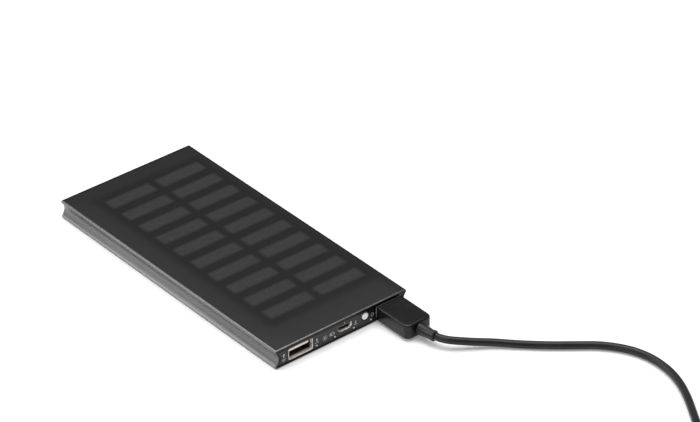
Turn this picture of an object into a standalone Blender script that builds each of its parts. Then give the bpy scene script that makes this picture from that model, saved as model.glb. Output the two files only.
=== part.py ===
"""Solar phone charger with its charging lead.

A flat power bank in an extruded aluminium case. Solar cells lie under a window in the top, two
cells of battery and a circuit board fill the case, and the sockets, button and lights look out
of a plate at one end. A USB lead is plugged into the right-hand socket, and the rest of it is
wound up beside the case, with its micro plug beside the coil.

The case stands on Z = 0 with the origin under its middle. +Y runs along the case, away from the
sockets, +X across it and +Z up. Dimensions are in millimetres, and every point is scaled to
metres as it becomes a vertex.
"""

import math

import bmesh
import bpy
from mathutils import Vector

MM = 0.001

# Case
LENGTH = 155.0
WIDTH = 74.0
THICKNESS = 9.4
EDGE_CHAMFER = 0.4
SIDE_LIP = 1.1  # height of the straight band above and below each hollow side
SIDE_HOLLOW = 1.5
SIDE_STEPS = 8
CASE_FLOOR = 1.0
CASE_CEILING = 6.3
CAVITY_HALF_WIDTH = 33.4
FRONT = -LENGTH / 2
REAR = LENGTH / 2

# End plates, which sit just inside the mouths of the case
MOUTH_DEPTH = 1.9
MOUTH_LOW = 0.8
MOUTH_HIGH = 7.9
MOUTH_HALF_WIDTH = 35.6
PLATE_GAP = 0.2
PLATE_RECESS = 0.3
PLATE_THICKNESS = 1.3
FIT_GAP = 0.3  # between neighbouring pieces
THIN_GAP = 0.1  # between stacked flat pieces

# Window and solar panel
WINDOW_RIM = 0.9
WINDOW_LOW = 8.7
WINDOW_HIGH = 9.3
PANEL_LEFT, PANEL_RIGHT = -27.0, 34.0
PANEL_FRONT, PANEL_REAR = -62.5, 68.0
PANEL_BOARD_LOW, PANEL_BOARD_HIGH = 7.1, 7.9
CELL_ROWS = 10
CELL_PITCH = 12.6
CELL_FIRST_ROW = -53.5
CELL_DEPTH = 7.0
CELL_WIDTH = 24.5
CELL_LOW, CELL_HIGH = 8.0, 8.3
CELL_COLUMNS = {"left": -10.2, "right": 18.2}
RIBBON_WIDTH = 14.0
PANEL_WIRE_HOLE = (-6.0, 6.0, -60.5, -57.0)

# Sockets, button and lights in the port plate
PORT_BAY_DEPTH = 13.7
PORT_BAY_HALF_WIDTH = 33.3
PORT_BAY_CEILING = 7.85
SOCKET_FRONT = FRONT + 0.2
USB_HEIGHT = 4.6
USB_CENTRES = {"left": -22.9, "right": 26.4}
USB_OUTER = (13.3, 5.6)
USB_INNER = (12.5, 5.12)
USB_DEPTH = 13.5
USB_TONGUE_WIDTH = 11.0
USB_TONGUE_TIP = 1.6  # how far the tongue ends behind the front
USB_TONGUE_LOW, USB_TONGUE_HIGH = 4.6, 6.2
MICRO_CENTRE = (1.8, 4.9)
MICRO_OUTER = (7.5, 2.8)
MICRO_WALL = 0.25
MICRO_DEPTH = 5.4
MICRO_CUT_ACROSS, MICRO_CUT_UP = 1.2, 1.0  # taken off each lower corner
MICRO_TONGUE_HALF_WIDTH = 1.9
MICRO_TONGUE_THICKNESS = 0.6
MICRO_TONGUE_TIP = 1.0  # behind the socket's front
BUTTON_CENTRE = (13.5, 5.4)
BUTTON_RADIUS = 1.7
BUTTON_FLANGE = 2.25
LIGHT_XS = (-13.7, -3.5, 7.2, 16.8)
LIGHT_HEIGHT = 2.1
LIGHT_RADIUS = 0.5
LIGHT_BAR = (-15.2, 18.3, -75.5, -74.0, 1.4, 2.8)

# Circuit board and battery
BOARD_LOW, BOARD_HIGH = 2.4, 3.4
BOARD_FRONT, BOARD_REAR = -73.4, -31.0
BOARD_HALF_WIDTH = 32.9
SCREW_XS = {"left": -29.0, "right": 29.0}
SCREW_Y = -36.0
SPACER_RADIUS = 2.2
INDUCTOR_SPOT = (-8.0, -48.0)
CAPACITOR_SPOT = (-19.0, -50.0)
CHIP_HEIGHT = 1.0
# Middle, width and depth of each chip
CHIPS = {"converter_chip": (4.0, -50.0, 5.0, 6.0), "charger_chip": (17.0, -47.0, 4.0, 4.0)}
TRAY_FRONT, TRAY_REAR = -24.0, 71.5
TRAY_HALF_WIDTH = 33.1
TRAY_WALL = 0.6
TRAY_LOW, TRAY_HIGH = 1.1, 5.6
BATTERY_LOW, BATTERY_HIGH = 1.9, 6.0
WIRE_RADIUS = 0.6

# Plug in the right-hand socket, and the lead
PLUG_SHELL = (12.0, 4.5)
PLUG_WALL = 0.3
PLUG_TIP = -65.4
GRIP_FRONT, GRIP_REAR = -77.8, -98.5
GRIP_WIDTH = 14.4
GRIP_LOW, GRIP_HIGH = 0.9, 8.2
GRIP_CORNER = 2.5
GRIP_SOFTEN = 0.8
CORD_RADIUS = 1.8
BOOT_ROUTE = [(26.4, -98.8, 4.6), (26.5, -101.8, 4.62), (26.9, -104.7, 4.65), (27.6, -107.5, 4.7)]
BOOT_RADII = [2.9, 2.5, 2.3, 2.2]
LEAD_ROUTE = [
    (27.75, -107.9, 4.7),
    (28.5, -110.2, 4.62),
    (30.5, -113.0, 4.35),
    (33.9, -115.8, 3.85),
    (39.5, -119.8, 3.0),
    (46.2, -124.7, 2.3),
    (54.4, -132.6, 1.9),
    (63.3, -140.9, 1.85),
    (72.3, -148.4, 1.85),
    (79.0, -154.0, 1.85),
    (84.3, -160.2, 1.85),
    (88.4, -167.6, 1.85),
    (90.6, -176.5, 1.85),
    (90.2, -187.0, 1.85),
    (87.3, -197.0, 1.85),
    (82.0, -207.5, 1.85),
    (73.8, -220.5, 1.85),
    (63.2, -237.6, 2.0),
]
ROUTE_SPACING = 8.0

# Coil of the spare lead: a lower layer wound inwards and an upper layer wound outwards
COIL_CENTRE = (73.5, -270.0)
COIL_RADIUS = 25.7  # of the outermost turn's middle
COIL_PITCH = 3.7
COIL_TURNS = 3
COIL_LOWER = 2.4
COIL_UPPER = 6.1
COIL_ENTRY_ANGLE = 148.0
COIL_CLIMB = 70.0  # degrees of turn in which the lead rises to the upper layer
COIL_INNER = COIL_RADIUS - COIL_TURNS * COIL_PITCH
TIE_ANGLE = 20.0
TIE_WIDTH = 8.0
TIE_THICKNESS = 0.4
TAIL_SWEEP = 82.0
TAIL_OUT = 7.0
MICRO_AXIS = 3.6  # height of the micro plug's middle
MICRO_PLUG_SHELL = (6.9, 1.9)
MICRO_BOOT_END, MICRO_GRIP_END, MICRO_TIP = 8.0, 25.0, 31.0  # along the plug, from the cord's end
MICRO_GRIP_HALF_SIZE = (5.3, 3.4)
MICRO_GRIP_CORNER = 2.2
MICRO_GRIP_SOFTEN = 0.9


def clear_scene():
    for old in list(bpy.data.objects):
        bpy.data.objects.remove(old, do_unlink=True)


def finish(name, colour, roughness, metallic=0.0):
    material = bpy.data.materials.new(name)
    material.use_nodes = True
    shader = material.node_tree.nodes["Principled BSDF"]
    shader.inputs["Base Color"].default_value = (*colour, 1.0)
    shader.inputs["Roughness"].default_value = roughness
    shader.inputs["Metallic"].default_value = metallic
    return material


def make_finishes():
    return {
        "aluminium": finish("aluminium", (0.32, 0.32, 0.33), 0.4, 1.0),
        "window": finish("window", (0.03, 0.03, 0.032), 0.45),
        "cell": finish("cell", (0.05, 0.05, 0.055), 0.4),
        "panel_board": finish("panel_board", (0.02, 0.02, 0.02), 0.6),
        "gloss_black": finish("gloss_black", (0.012, 0.012, 0.013), 0.15),
        "matt_black": finish("matt_black", (0.025, 0.025, 0.027), 0.55),
        "steel": finish("steel", (0.65, 0.63, 0.6), 0.25, 1.0),
        "white": finish("white", (0.85, 0.85, 0.85), 0.4),
        "clear": finish("clear", (0.7, 0.72, 0.75), 0.2),
        "board": finish("board", (0.02, 0.09, 0.04), 0.5),
        "foil": finish("foil", (0.55, 0.56, 0.58), 0.4, 0.6),
        "cord": finish("cord", (0.035, 0.035, 0.04), 0.5),
        "red": finish("red", (0.5, 0.02, 0.02), 0.5),
    }


def empty(name, point):
    holder = bpy.data.objects.new(name, None)
    holder.location = Vector(point) * MM
    bpy.context.collection.objects.link(holder)
    bpy.context.view_layer.update()
    return holder


def add_object(name, data, material, parent=None):
    piece = bpy.data.objects.new(name, data)
    bpy.context.collection.objects.link(piece)
    data.materials.append(material)
    if parent:
        piece.parent = parent
        piece.matrix_parent_inverse = parent.matrix_world.inverted()
    return piece


# Rings of points, and the solids through them ------------------------------------------------


def along_x(outline, stations):
    return [[(x, y, z) for y, z in outline] for x in stations]


def along_y(outline, stations):
    return [[(x, y, z) for x, z in outline] for y in stations]


def along_z(outline, stations):
    return [[(x, y, z) for x, y in outline] for z in stations]


def rectangle(left, right, low, high):
    return [(left, low), (right, low), (right, high), (left, high)]


def centred(middle, size):
    half_width, half_height = size[0] / 2, size[1] / 2
    across, up = middle
    return rectangle(across - half_width, across + half_width, up - half_height, up + half_height)


def circle(middle, radius, sides):
    turns = [2 * math.pi * i / sides for i in range(sides)]
    return [(middle[0] + radius * math.cos(a), middle[1] + radius * math.sin(a)) for a in turns]


def turned_y(middle, profile, sides):
    """Rings of a turned shape whose axis runs along Y, from (y, radius) pairs."""
    return [[(x, y, z) for x, z in circle(middle, radius, sides)] for y, radius in profile]


def turned_z(middle, profile, sides):
    """Rings of a turned shape whose axis runs along Z, from (z, radius) pairs."""
    return [[(x, y, z) for x, y in circle(middle, radius, sides)] for z, radius in profile]


def box(left, right, front, rear, low, high):
    return along_z(rectangle(left, right, front, rear), (low, high))


def mesh_through(name, rings, ring_closed=False):
    """A closed mesh through the rings, capped at its ends or joined end to end."""
    builder = bmesh.new()
    loops = [[builder.verts.new(Vector(point) * MM) for point in ring] for ring in rings]
    pairs = list(zip(loops, loops[1:]))
    if ring_closed:
        pairs.append((loops[-1], loops[0]))
    else:
        builder.faces.new(loops[0])
        builder.faces.new(loops[-1])
    for first, second in pairs:
        for i, corner in enumerate(first):
            j = (i + 1) % len(first)
            builder.faces.new((corner, first[j], second[j], second[i]))
    bmesh.ops.recalc_face_normals(builder, faces=builder.faces)
    mesh = bpy.data.meshes.new(name)
    builder.to_mesh(mesh)
    builder.free()
    mesh.shade_smooth()
    mesh.set_sharp_from_angle(angle=math.radians(35))
    return mesh


def solid(name, rings, material, parent=None, ring_closed=False):
    return add_object(name, mesh_through(name, rings, ring_closed), material, parent)


def combine(piece, rings, operation):
    """Cut a shape out of a piece, or weld it on, with a hidden guide object."""
    name = f"{piece.name}.guide{len(piece.modifiers)}"
    guide = add_object(name, mesh_through(name, rings), piece.data.materials[0], piece.parent)
    guide.hide_render = True
    guide.display_type = "WIRE"
    boolean = piece.modifiers.new(name, "BOOLEAN")
    boolean.operation = operation
    boolean.object = guide


def cut(piece, rings):
    combine(piece, rings, "DIFFERENCE")


def weld(piece, rings):
    combine(piece, rings, "UNION")


def soften(piece, width, segments=2):
    bevel = piece.modifiers.new("soft edges", "BEVEL")
    bevel.width = width * MM
    bevel.segments = segments
    bevel.limit_method = "ANGLE"


def swept(route, radii, sides):
    """Round rings along a route, kept from twisting by carrying one direction along it."""
    points = [Vector(point) for point in route]
    rings = []
    side = Vector((0, 0, 1))
    for i, point in enumerate(points):
        before = points[max(i - 1, 0)]
        after = points[min(i + 1, len(points) - 1)]
        heading = (after - before).normalized()
        side = (side - heading * side.dot(heading)).normalized()
        other = heading.cross(side)
        ring = []
        for k in range(sides):
            turn = 2 * math.pi * k / sides
            ring.append(point + (side * math.cos(turn) + other * math.sin(turn)) * radii[i])
        rings.append(ring)
    return rings


def cable(name, route, radius, material, parent=None, resolution=2):
    """A round wire as a curve through the points of its route."""
    curve = bpy.data.curves.new(name, "CURVE")
    curve.dimensions = "3D"
    curve.bevel_depth = radius * MM
    curve.bevel_resolution = resolution
    curve.render_resolution_u = 0
    curve.use_fill_caps = True
    spline = curve.splines.new("POLY")
    spline.points.add(len(route) - 1)
    for spot, point in zip(spline.points, route):
        spot.co = (*(Vector(point) * MM), 1.0)
    return add_object(name, curve, material, parent)


# Routes ---------------------------------------------------------------------------------------


def smooth_curve(route, spacing):
    """Points at even spacing along a Catmull-Rom curve through the route."""
    knots = [Vector(point) for point in route]
    knots = [2 * knots[0] - knots[1], *knots, 2 * knots[-1] - knots[-2]]
    fine = []
    steps = 16
    for a, b, c, d in zip(knots, knots[1:], knots[2:], knots[3:]):
        for i in range(steps):
            t = i / steps
            pull = (c - a) * t + (2 * a - 5 * b + 4 * c - d) * t**2 + (3 * b - a - 3 * c + d) * t**3
            fine.append(b + pull / 2)
    fine.append(knots[-2])
    lengths = [0.0]
    for first, second in zip(fine, fine[1:]):
        lengths.append(lengths[-1] + (second - first).length)
    count = max(2, round(lengths[-1] / spacing))
    even = []
    k = 0
    for i in range(count + 1):
        target = lengths[-1] * i / count
        while k < len(fine) - 2 and lengths[k + 1] < target:
            k += 1
        share = (target - lengths[k]) / (lengths[k + 1] - lengths[k])
        even.append(fine[k].lerp(fine[k + 1], share))
    return even


def around_coil(angle, radius, height):
    turn = math.radians(angle)
    return (
        COIL_CENTRE[0] + radius * math.cos(turn),
        COIL_CENTRE[1] + radius * math.sin(turn),
        height,
    )


def coil_gap(point):
    """How far a point of the lead's middle is from touching the coil, level with it."""
    reach = math.hypot(point[0] - COIL_CENTRE[0], point[1] - COIL_CENTRE[1])
    return reach - COIL_RADIUS - COIL_PITCH / 2 - CORD_RADIUS


def lead_in_route():
    """From the plug's boot to where the lead comes up to the outside of the coil."""
    arrival = around_coil(COIL_ENTRY_ANGLE, COIL_RADIUS, COIL_LOWER)
    whole = smooth_curve([*LEAD_ROUTE, arrival], ROUTE_SPACING / 8)
    outside = [point for point in whole if coil_gap(point) > FIT_GAP]
    line = smooth_curve(outside, ROUTE_SPACING)
    line.insert(1, outside[2])  # keeps the end square to the boot
    return line


def tail_route():
    """From the outside of the coil, round it and down to the micro plug's boot."""
    start = COIL_ENTRY_ANGLE + COIL_CLIMB
    points = []
    steps = 40
    for i in range(steps + 1):
        share = i / steps
        ease = share * share * (3 - 2 * share)
        height = COIL_UPPER + (MICRO_AXIS - COIL_UPPER) * ease
        points.append(around_coil(start + TAIL_SWEEP * share, COIL_RADIUS + TAIL_OUT * ease, height))
    return smooth_curve([point for point in points if coil_gap(point) > FIT_GAP], ROUTE_SPACING / 2)


# Case -----------------------------------------------------------------------------------------


def hollow_section(half_width, low, high, lip, chamfer):
    """Outline across the case: flat top and bottom, hollow sides between straight lips."""
    right = [(half_width - chamfer, low), (half_width, low + chamfer)]
    for i in range(SIDE_STEPS + 1):
        share = i / SIDE_STEPS
        hollow = SIDE_HOLLOW * (1 - (2 * share - 1) ** 2)
        right.append((half_width - hollow, low + lip + (high - low - 2 * lip) * share))
    right += [(half_width, high - chamfer), (half_width - chamfer, high)]
    return right + [(-x, z) for x, z in reversed(right)]


def case_outline(inset):
    low, high = inset, THICKNESS - inset
    return hollow_section(WIDTH / 2 - inset, low, high, SIDE_LIP - inset, EDGE_CHAMFER)


def mouth_outline(gap):
    low, high = MOUTH_LOW + gap, MOUTH_HIGH - gap
    return hollow_section(MOUTH_HALF_WIDTH - gap, low, high, 0.6 - gap, 0.3)


def case_rings():
    rings = along_y(case_outline(EDGE_CHAMFER), (FRONT,))
    rings += along_y(case_outline(0.0), (FRONT + EDGE_CHAMFER, REAR - EDGE_CHAMFER))
    return rings + along_y(case_outline(EDGE_CHAMFER), (REAR,))


def make_case(finishes):
    case = solid("body_shell", case_rings(), finishes["aluminium"])
    beyond = 1.0
    half = CAVITY_HALF_WIDTH
    cut(case, box(-half, half, FRONT - beyond, REAR + beyond, CASE_FLOOR, CASE_CEILING))
    bay_rear = FRONT + PORT_BAY_DEPTH
    bay = PORT_BAY_HALF_WIDTH
    cut(case, box(-bay, bay, FRONT - beyond, bay_rear, CASE_FLOOR + 1.0, PORT_BAY_CEILING))
    cut(case, along_y(mouth_outline(0.0), (FRONT - beyond, FRONT + MOUTH_DEPTH)))
    cut(case, along_y(mouth_outline(0.0), (REAR - MOUTH_DEPTH, REAR + beyond)))
    side, end = WIDTH / 2 - WINDOW_RIM, REAR - WINDOW_RIM
    cut(case, box(-side, side, -end, end, WINDOW_LOW - THIN_GAP, THICKNESS + beyond))
    left, right = PANEL_LEFT - FIT_GAP, PANEL_RIGHT + FIT_GAP
    front, rear = PANEL_FRONT - FIT_GAP, PANEL_REAR + FIT_GAP
    cut(case, box(left, right, front, rear, PANEL_BOARD_LOW - THIN_GAP, THICKNESS + beyond))
    cut(case, box(*PANEL_WIRE_HOLE, CASE_CEILING - beyond, PANEL_BOARD_LOW + THIN_GAP))
    return case


def make_window(finishes):
    side = WIDTH / 2 - WINDOW_RIM - THIN_GAP
    end = REAR - WINDOW_RIM - THIN_GAP
    rings = box(-side, side, -end, end, WINDOW_LOW, WINDOW_HIGH)
    solid("top_window", rings, finishes["window"])


def ladder(centre):
    """Outline of a column of cells joined by the ribbon that runs through them."""
    wide, narrow = CELL_WIDTH / 2, RIBBON_WIDTH / 2
    right = []
    for row in range(CELL_ROWS):
        middle = CELL_FIRST_ROW + row * CELL_PITCH
        near, far = middle - CELL_DEPTH / 2, middle + CELL_DEPTH / 2
        right += [(narrow, near), (wide, near), (wide, far), (narrow, far)]
    right = right[1:-1]
    outline = [(centre + x, y) for x, y in right]
    return outline + [(centre - x, y) for x, y in reversed(right)]


def make_solar_panel(finishes):
    rings = box(PANEL_LEFT, PANEL_RIGHT, PANEL_FRONT, PANEL_REAR, PANEL_BOARD_LOW, PANEL_BOARD_HIGH)
    solid("solar_board", rings, finishes["panel_board"])
    for side, centre in CELL_COLUMNS.items():
        rings = along_z(ladder(centre), (CELL_LOW, CELL_HIGH))
        solid(f"solar_string_{side}", rings, finishes["cell"])


# End plates -----------------------------------------------------------------------------------


def make_plates(finishes):
    face = FRONT + PLATE_RECESS
    back = face + PLATE_THICKNESS
    plate = solid("port_plate", along_y(mouth_outline(PLATE_GAP), (face, back)), finishes["gloss_black"])
    through = (face - 1.0, back + 1.0)
    opening = (USB_OUTER[0] + 2 * PLATE_GAP, USB_OUTER[1] + 2 * PLATE_GAP)
    for centre in USB_CENTRES.values():
        cut(plate, along_y(centred((centre, USB_HEIGHT), opening), through))
    cut(plate, along_y(micro_section(MICRO_OUTER, -PLATE_GAP), through))
    cut(plate, along_y(circle(BUTTON_CENTRE, BUTTON_RADIUS + FIT_GAP, 24), through))
    for x in LIGHT_XS:
        cut(plate, along_y(circle((x, LIGHT_HEIGHT), LIGHT_RADIUS + PLATE_GAP, 12), through))
    face = REAR - PLATE_RECESS
    back = face - PLATE_THICKNESS
    solid("rear_plate", along_y(mouth_outline(PLATE_GAP), (back, face)), finishes["gloss_black"])


# Sockets --------------------------------------------------------------------------------------


def micro_section(size, inset):
    """Outline of a micro socket or plug: a bar whose lower corners are cut away."""
    half_width, half_height = size[0] / 2 - inset, size[1] / 2 - inset
    x, z = MICRO_CENTRE
    return [
        (x - half_width + MICRO_CUT_ACROSS, z - half_height),
        (x + half_width - MICRO_CUT_ACROSS, z - half_height),
        (x + half_width, z - half_height + MICRO_CUT_UP),
        (x + half_width, z + half_height),
        (x - half_width, z + half_height),
        (x - half_width, z - half_height + MICRO_CUT_UP),
    ]


def make_usb_socket(side, finishes):
    centre = USB_CENTRES[side]
    rear = SOCKET_FRONT + USB_DEPTH
    rings = along_y(centred((centre, USB_HEIGHT), USB_OUTER), (SOCKET_FRONT, rear))
    shell = solid(f"usb_out_{side}_shell", rings, finishes["steel"])
    inside = centred((centre, USB_HEIGHT), USB_INNER)
    cut(shell, along_y(inside, (SOCKET_FRONT - 1.0, rear + 1.0)))
    root = PLUG_TIP + 0.4
    half_base = USB_INNER[1] / 2 - THIN_GAP
    outline = [
        (rear, USB_HEIGHT - half_base),
        (rear, USB_HEIGHT + half_base),
        (root, USB_HEIGHT + half_base),
        (root, USB_TONGUE_HIGH),
        (SOCKET_FRONT + USB_TONGUE_TIP, USB_TONGUE_HIGH),
        (SOCKET_FRONT + USB_TONGUE_TIP, USB_TONGUE_LOW),
        (root, USB_TONGUE_LOW),
        (root, USB_HEIGHT - half_base),
    ]
    half = USB_TONGUE_WIDTH / 2
    rings = along_x(outline, (centre - half, centre + half))
    solid(f"usb_out_{side}_tongue", rings, finishes["white"])


def make_micro_socket(finishes):
    rear = SOCKET_FRONT + MICRO_DEPTH
    rings = along_y(micro_section(MICRO_OUTER, 0.0), (SOCKET_FRONT, rear))
    shell = solid("micro_in_shell", rings, finishes["steel"])
    cut(shell, along_y(micro_section(MICRO_OUTER, MICRO_WALL), (SOCKET_FRONT - 1.0, rear + 1.0)))
    x, z = MICRO_CENTRE
    root = rear - 0.9
    tip = SOCKET_FRONT + MICRO_TONGUE_TIP
    half_base = 0.9
    high = z + MICRO_TONGUE_THICKNESS
    outline = [
        (rear, z - half_base),
        (rear, z + half_base),
        (root, z + half_base),
        (root, high),
        (tip, high),
        (tip, z),
        (root, z),
        (root, z - half_base),
    ]
    half = MICRO_TONGUE_HALF_WIDTH
    solid("micro_in_tongue", along_x(outline, (x - half, x + half)), finishes["matt_black"])


# Button and lights ----------------------------------------------------------------------------


def make_button(finishes):
    holder = empty("power_button", (BUTTON_CENTRE[0], FRONT, BUTTON_CENTRE[1]))
    behind_plate = FRONT + PLATE_RECESS + PLATE_THICKNESS + FIT_GAP
    cap_rear = behind_plate + 0.7
    profile = [
        (FRONT, BUTTON_RADIUS - 0.45),
        (FRONT + 0.12, BUTTON_RADIUS - 0.15),
        (FRONT + 0.35, BUTTON_RADIUS),
        (behind_plate, BUTTON_RADIUS),
        (behind_plate, BUTTON_FLANGE),
        (cap_rear, BUTTON_FLANGE),
    ]
    solid("button_cap", turned_y(BUTTON_CENTRE, profile, 24), finishes["white"], holder)
    pin_front = cap_rear + FIT_GAP
    switch_front = pin_front + 0.9
    profile = [(pin_front, 0.8), (switch_front + 1.3, 0.8)]
    solid("switch_plunger", turned_y(BUTTON_CENTRE, profile, 16), finishes["matt_black"], holder)
    x, z = BUTTON_CENTRE
    low = BOARD_HIGH + THIN_GAP
    rings = box(x - 3.0, x + 3.0, switch_front, switch_front + 3.2, low, 7.2)
    switch = solid("switch_body", rings, finishes["matt_black"])
    cut(switch, turned_y(BUTTON_CENTRE, [(switch_front - 1.0, 1.1), (switch_front + 2.1, 1.1)], 16))


def make_lights(finishes):
    guide = solid("light_guide", box(*LIGHT_BAR), finishes["clear"])
    bar_front, bar_rear = LIGHT_BAR[2], LIGHT_BAR[3]
    for number, x in enumerate(LIGHT_XS, start=1):
        tip = FRONT + PLATE_RECESS
        weld(guide, turned_y((x, LIGHT_HEIGHT), [(tip, LIGHT_RADIUS), (bar_front + 0.7, LIGHT_RADIUS)], 12))
        front = bar_rear + THIN_GAP
        rings = box(x - 0.8, x + 0.8, front, front + 0.9, 1.6, BOARD_LOW - THIN_GAP)
        led = solid(f"led_{number}", rings, finishes["white"])
        soften(led, 0.1, 1)


# Circuit board and battery --------------------------------------------------------------------


def make_board(finishes):
    half = BOARD_HALF_WIDTH
    rings = box(-half, half, BOARD_FRONT, BOARD_REAR, BOARD_LOW, BOARD_HIGH)
    board = solid("main_board", rings, finishes["board"])
    notch = USB_OUTER[0] / 2 + FIT_GAP
    for centre in USB_CENTRES.values():
        rear = SOCKET_FRONT + USB_DEPTH + FIT_GAP
        cut(board, box(centre - notch, centre + notch, BOARD_FRONT - 1.0, rear, 0.0, THICKNESS))
    for x in SCREW_XS.values():
        cut(board, turned_z((x, SCREW_Y), [(0.0, 1.2), (THICKNESS, 1.2)], 16))
    top = BOARD_HIGH + THIN_GAP
    coil_profile = [(top, 3.2), (top + 0.3, 3.4), (top + 1.9, 3.4), (top + 2.3, 2.9)]
    solid("inductor", turned_z(INDUCTOR_SPOT, coil_profile, 16), finishes["matt_black"])
    can_profile = [(top, 2.5), (top + 2.0, 2.5), (top + 2.3, 2.2)]
    solid("output_capacitor", turned_z(CAPACITOR_SPOT, can_profile, 20), finishes["foil"])
    for name, (x, y, wide, deep) in CHIPS.items():
        rings = box(x - wide / 2, x + wide / 2, y - deep / 2, y + deep / 2, top, top + CHIP_HEIGHT)
        solid(name, rings, finishes["matt_black"])


def make_fixings(finishes):
    low = CASE_FLOOR + THIN_GAP
    for side, x in SCREW_XS.items():
        spot = (x, SCREW_Y)
        rings = turned_z(spot, [(low, SPACER_RADIUS), (BOARD_LOW - THIN_GAP, SPACER_RADIUS)], 16)
        spacer = solid(f"board_spacer_{side}", rings, finishes["steel"])
        cut(spacer, turned_z(spot, [(0.0, 1.2), (BOARD_HIGH, 1.2)], 16))
        head = BOARD_HIGH + THIN_GAP
        profile = [(low, 0.7), (low + 0.2, 0.9), (head, 0.9)]
        profile += [(head, 1.9), (head + 0.8, 1.8), (head + 1.1, 1.3)]
        screw = solid(f"board_screw_{side}", turned_z(spot, profile, 16), finishes["steel"])
        cut(screw, box(x - 0.25, x + 0.25, SCREW_Y - 3.0, SCREW_Y + 3.0, head + 0.7, head + 2.0))


def make_battery(finishes):
    half, wall = TRAY_HALF_WIDTH, TRAY_WALL
    rings = box(-half, half, TRAY_FRONT, TRAY_REAR, TRAY_LOW, TRAY_HIGH)
    tray = solid("battery_tray", rings, finishes["matt_black"])
    floor = TRAY_LOW + 0.5
    front, rear = TRAY_FRONT + wall, TRAY_REAR - wall
    for sign, side in ((-1, "left"), (1, "right")):
        inner, outer = wall / 2, half - wall
        left, right = sorted((sign * inner, sign * outer))
        cut(tray, box(left, right, front, rear, floor, THICKNESS))
        left, right = sorted((sign * (inner + FIT_GAP), sign * (outer - FIT_GAP)))
        rings = box(left, right, front + FIT_GAP, rear - FIT_GAP, BATTERY_LOW, BATTERY_HIGH)
        cell = solid(f"battery_{side}", rings, finishes["foil"])
        soften(cell, 1.2)
    front, rear = BOARD_REAR + 1.2, TRAY_FRONT - FIT_GAP
    guard = solid("battery_board", box(-14.0, 14.0, front, rear, BOARD_LOW, BOARD_HIGH), finishes["board"])
    for x in (-8.0, 3.0):
        weld(guard, box(x, x + 4.0, front + 1.0, front + 4.0, BOARD_HIGH - 0.4, BOARD_HIGH + 0.8))


def make_wires(finishes):
    above = BOARD_HIGH + FIT_GAP + WIRE_RADIUS
    for colour, x in (("red", -11.0), ("black", 10.5)):
        shade = finishes["red"] if colour == "red" else finishes["matt_black"]
        route = [(x, -26.5, above), (x, -29.0, above + 0.5), (x, -31.5, above + 0.5), (x, -34.5, above)]
        cable(f"battery_wire_{colour}", smooth_curve(route, 1.6), WIRE_RADIUS, shade, resolution=1)
    for colour, x in (("red", -2.5), ("black", 2.5)):
        shade = finishes["red"] if colour == "red" else finishes["matt_black"]
        bottom, top = BOARD_HIGH + FIT_GAP, PANEL_BOARD_LOW - FIT_GAP
        route = [(x, -58.7, top), (x, -58.7, 6.0), (x, -58.2, 5.2), (x, -57.6, 4.6), (x, -57.4, bottom)]
        cable(f"solar_wire_{colour}", smooth_curve(route, 0.7), WIRE_RADIUS, shade, resolution=1)


# Lead -----------------------------------------------------------------------------------------


def grip_plan(left, right, front, rear, corner, inset):
    """Plan of a moulded grip: square at its front, with round corners at the cord's end."""
    left, right, front, rear = left + inset, right - inset, front - inset, rear + inset
    radius = max(corner - inset, 0.3)
    points = [(left, front)]
    for middle, start in ((left + radius, 180.0), (right - radius, 270.0)):
        for i in range(7):
            turn = math.radians(start + 15.0 * i)
            points.append((middle + radius * math.cos(turn), rear + radius + radius * math.sin(turn)))
    return points + [(right, front)]


def grip_rings(left, right, front, rear, low, high, corner, soft):
    levels = [(low, soft), (low + 0.3 * soft, 0.3 * soft), (low + soft, 0.0)]
    levels += [(high - soft, 0.0), (high - 0.3 * soft, 0.3 * soft), (high, soft)]
    rings = []
    for height, inset in levels:
        plan = grip_plan(left, right, front, rear, corner, inset)
        rings += along_z(plan, (height,))
    return rings


def make_plug(holder, finishes):
    x = USB_CENTRES["right"]
    half = GRIP_WIDTH / 2
    span = (x - half, x + half, GRIP_FRONT, GRIP_REAR, GRIP_LOW, GRIP_HIGH)
    rings = grip_rings(*span, GRIP_CORNER, GRIP_SOFTEN)
    solid("lead_plug_grip", rings, finishes["matt_black"], holder)
    rear = GRIP_FRONT + FIT_GAP
    middle = (x, USB_HEIGHT)
    rings = along_y(centred(middle, PLUG_SHELL), (rear, PLUG_TIP))
    shell = solid("lead_plug_shell", rings, finishes["steel"], holder)
    inside = (PLUG_SHELL[0] - 2 * PLUG_WALL, PLUG_SHELL[1] - 2 * PLUG_WALL)
    cut(shell, along_y(centred(middle, inside), (rear - 1.0, PLUG_TIP + 1.0)))
    low = USB_HEIGHT - inside[1] / 2 + THIN_GAP
    reach = inside[0] / 2 - THIN_GAP
    rings = box(x - reach, x + reach, rear, PLUG_TIP - 0.5, low, USB_TONGUE_LOW - FIT_GAP)
    solid("lead_plug_insert", rings, finishes["white"], holder)
    solid("lead_boot", swept(BOOT_ROUTE, BOOT_RADII, 16), finishes["cord"], holder)


def make_coil(holder, finishes):
    inner, outer = COIL_INNER - COIL_PITCH / 2, COIL_RADIUS + COIL_PITCH / 2
    low, high = COIL_LOWER - CORD_RADIUS, COIL_UPPER + CORD_RADIUS
    round_by = 1.0
    section = [
        (inner + round_by, low),
        (outer - round_by, low),
        (outer, low + round_by),
        (outer, high - round_by),
        (outer - round_by, high),
        (inner + round_by, high),
        (inner, high - round_by),
        (inner, low + round_by),
    ]
    sides = 40
    rings = [[around_coil(360.0 * i / sides, r, z) for r, z in section] for i in range(sides)]
    solid("lead_coil", rings, finishes["cord"], holder, ring_closed=True)
    make_tie(inner, outer, low, high, holder, finishes)


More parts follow.
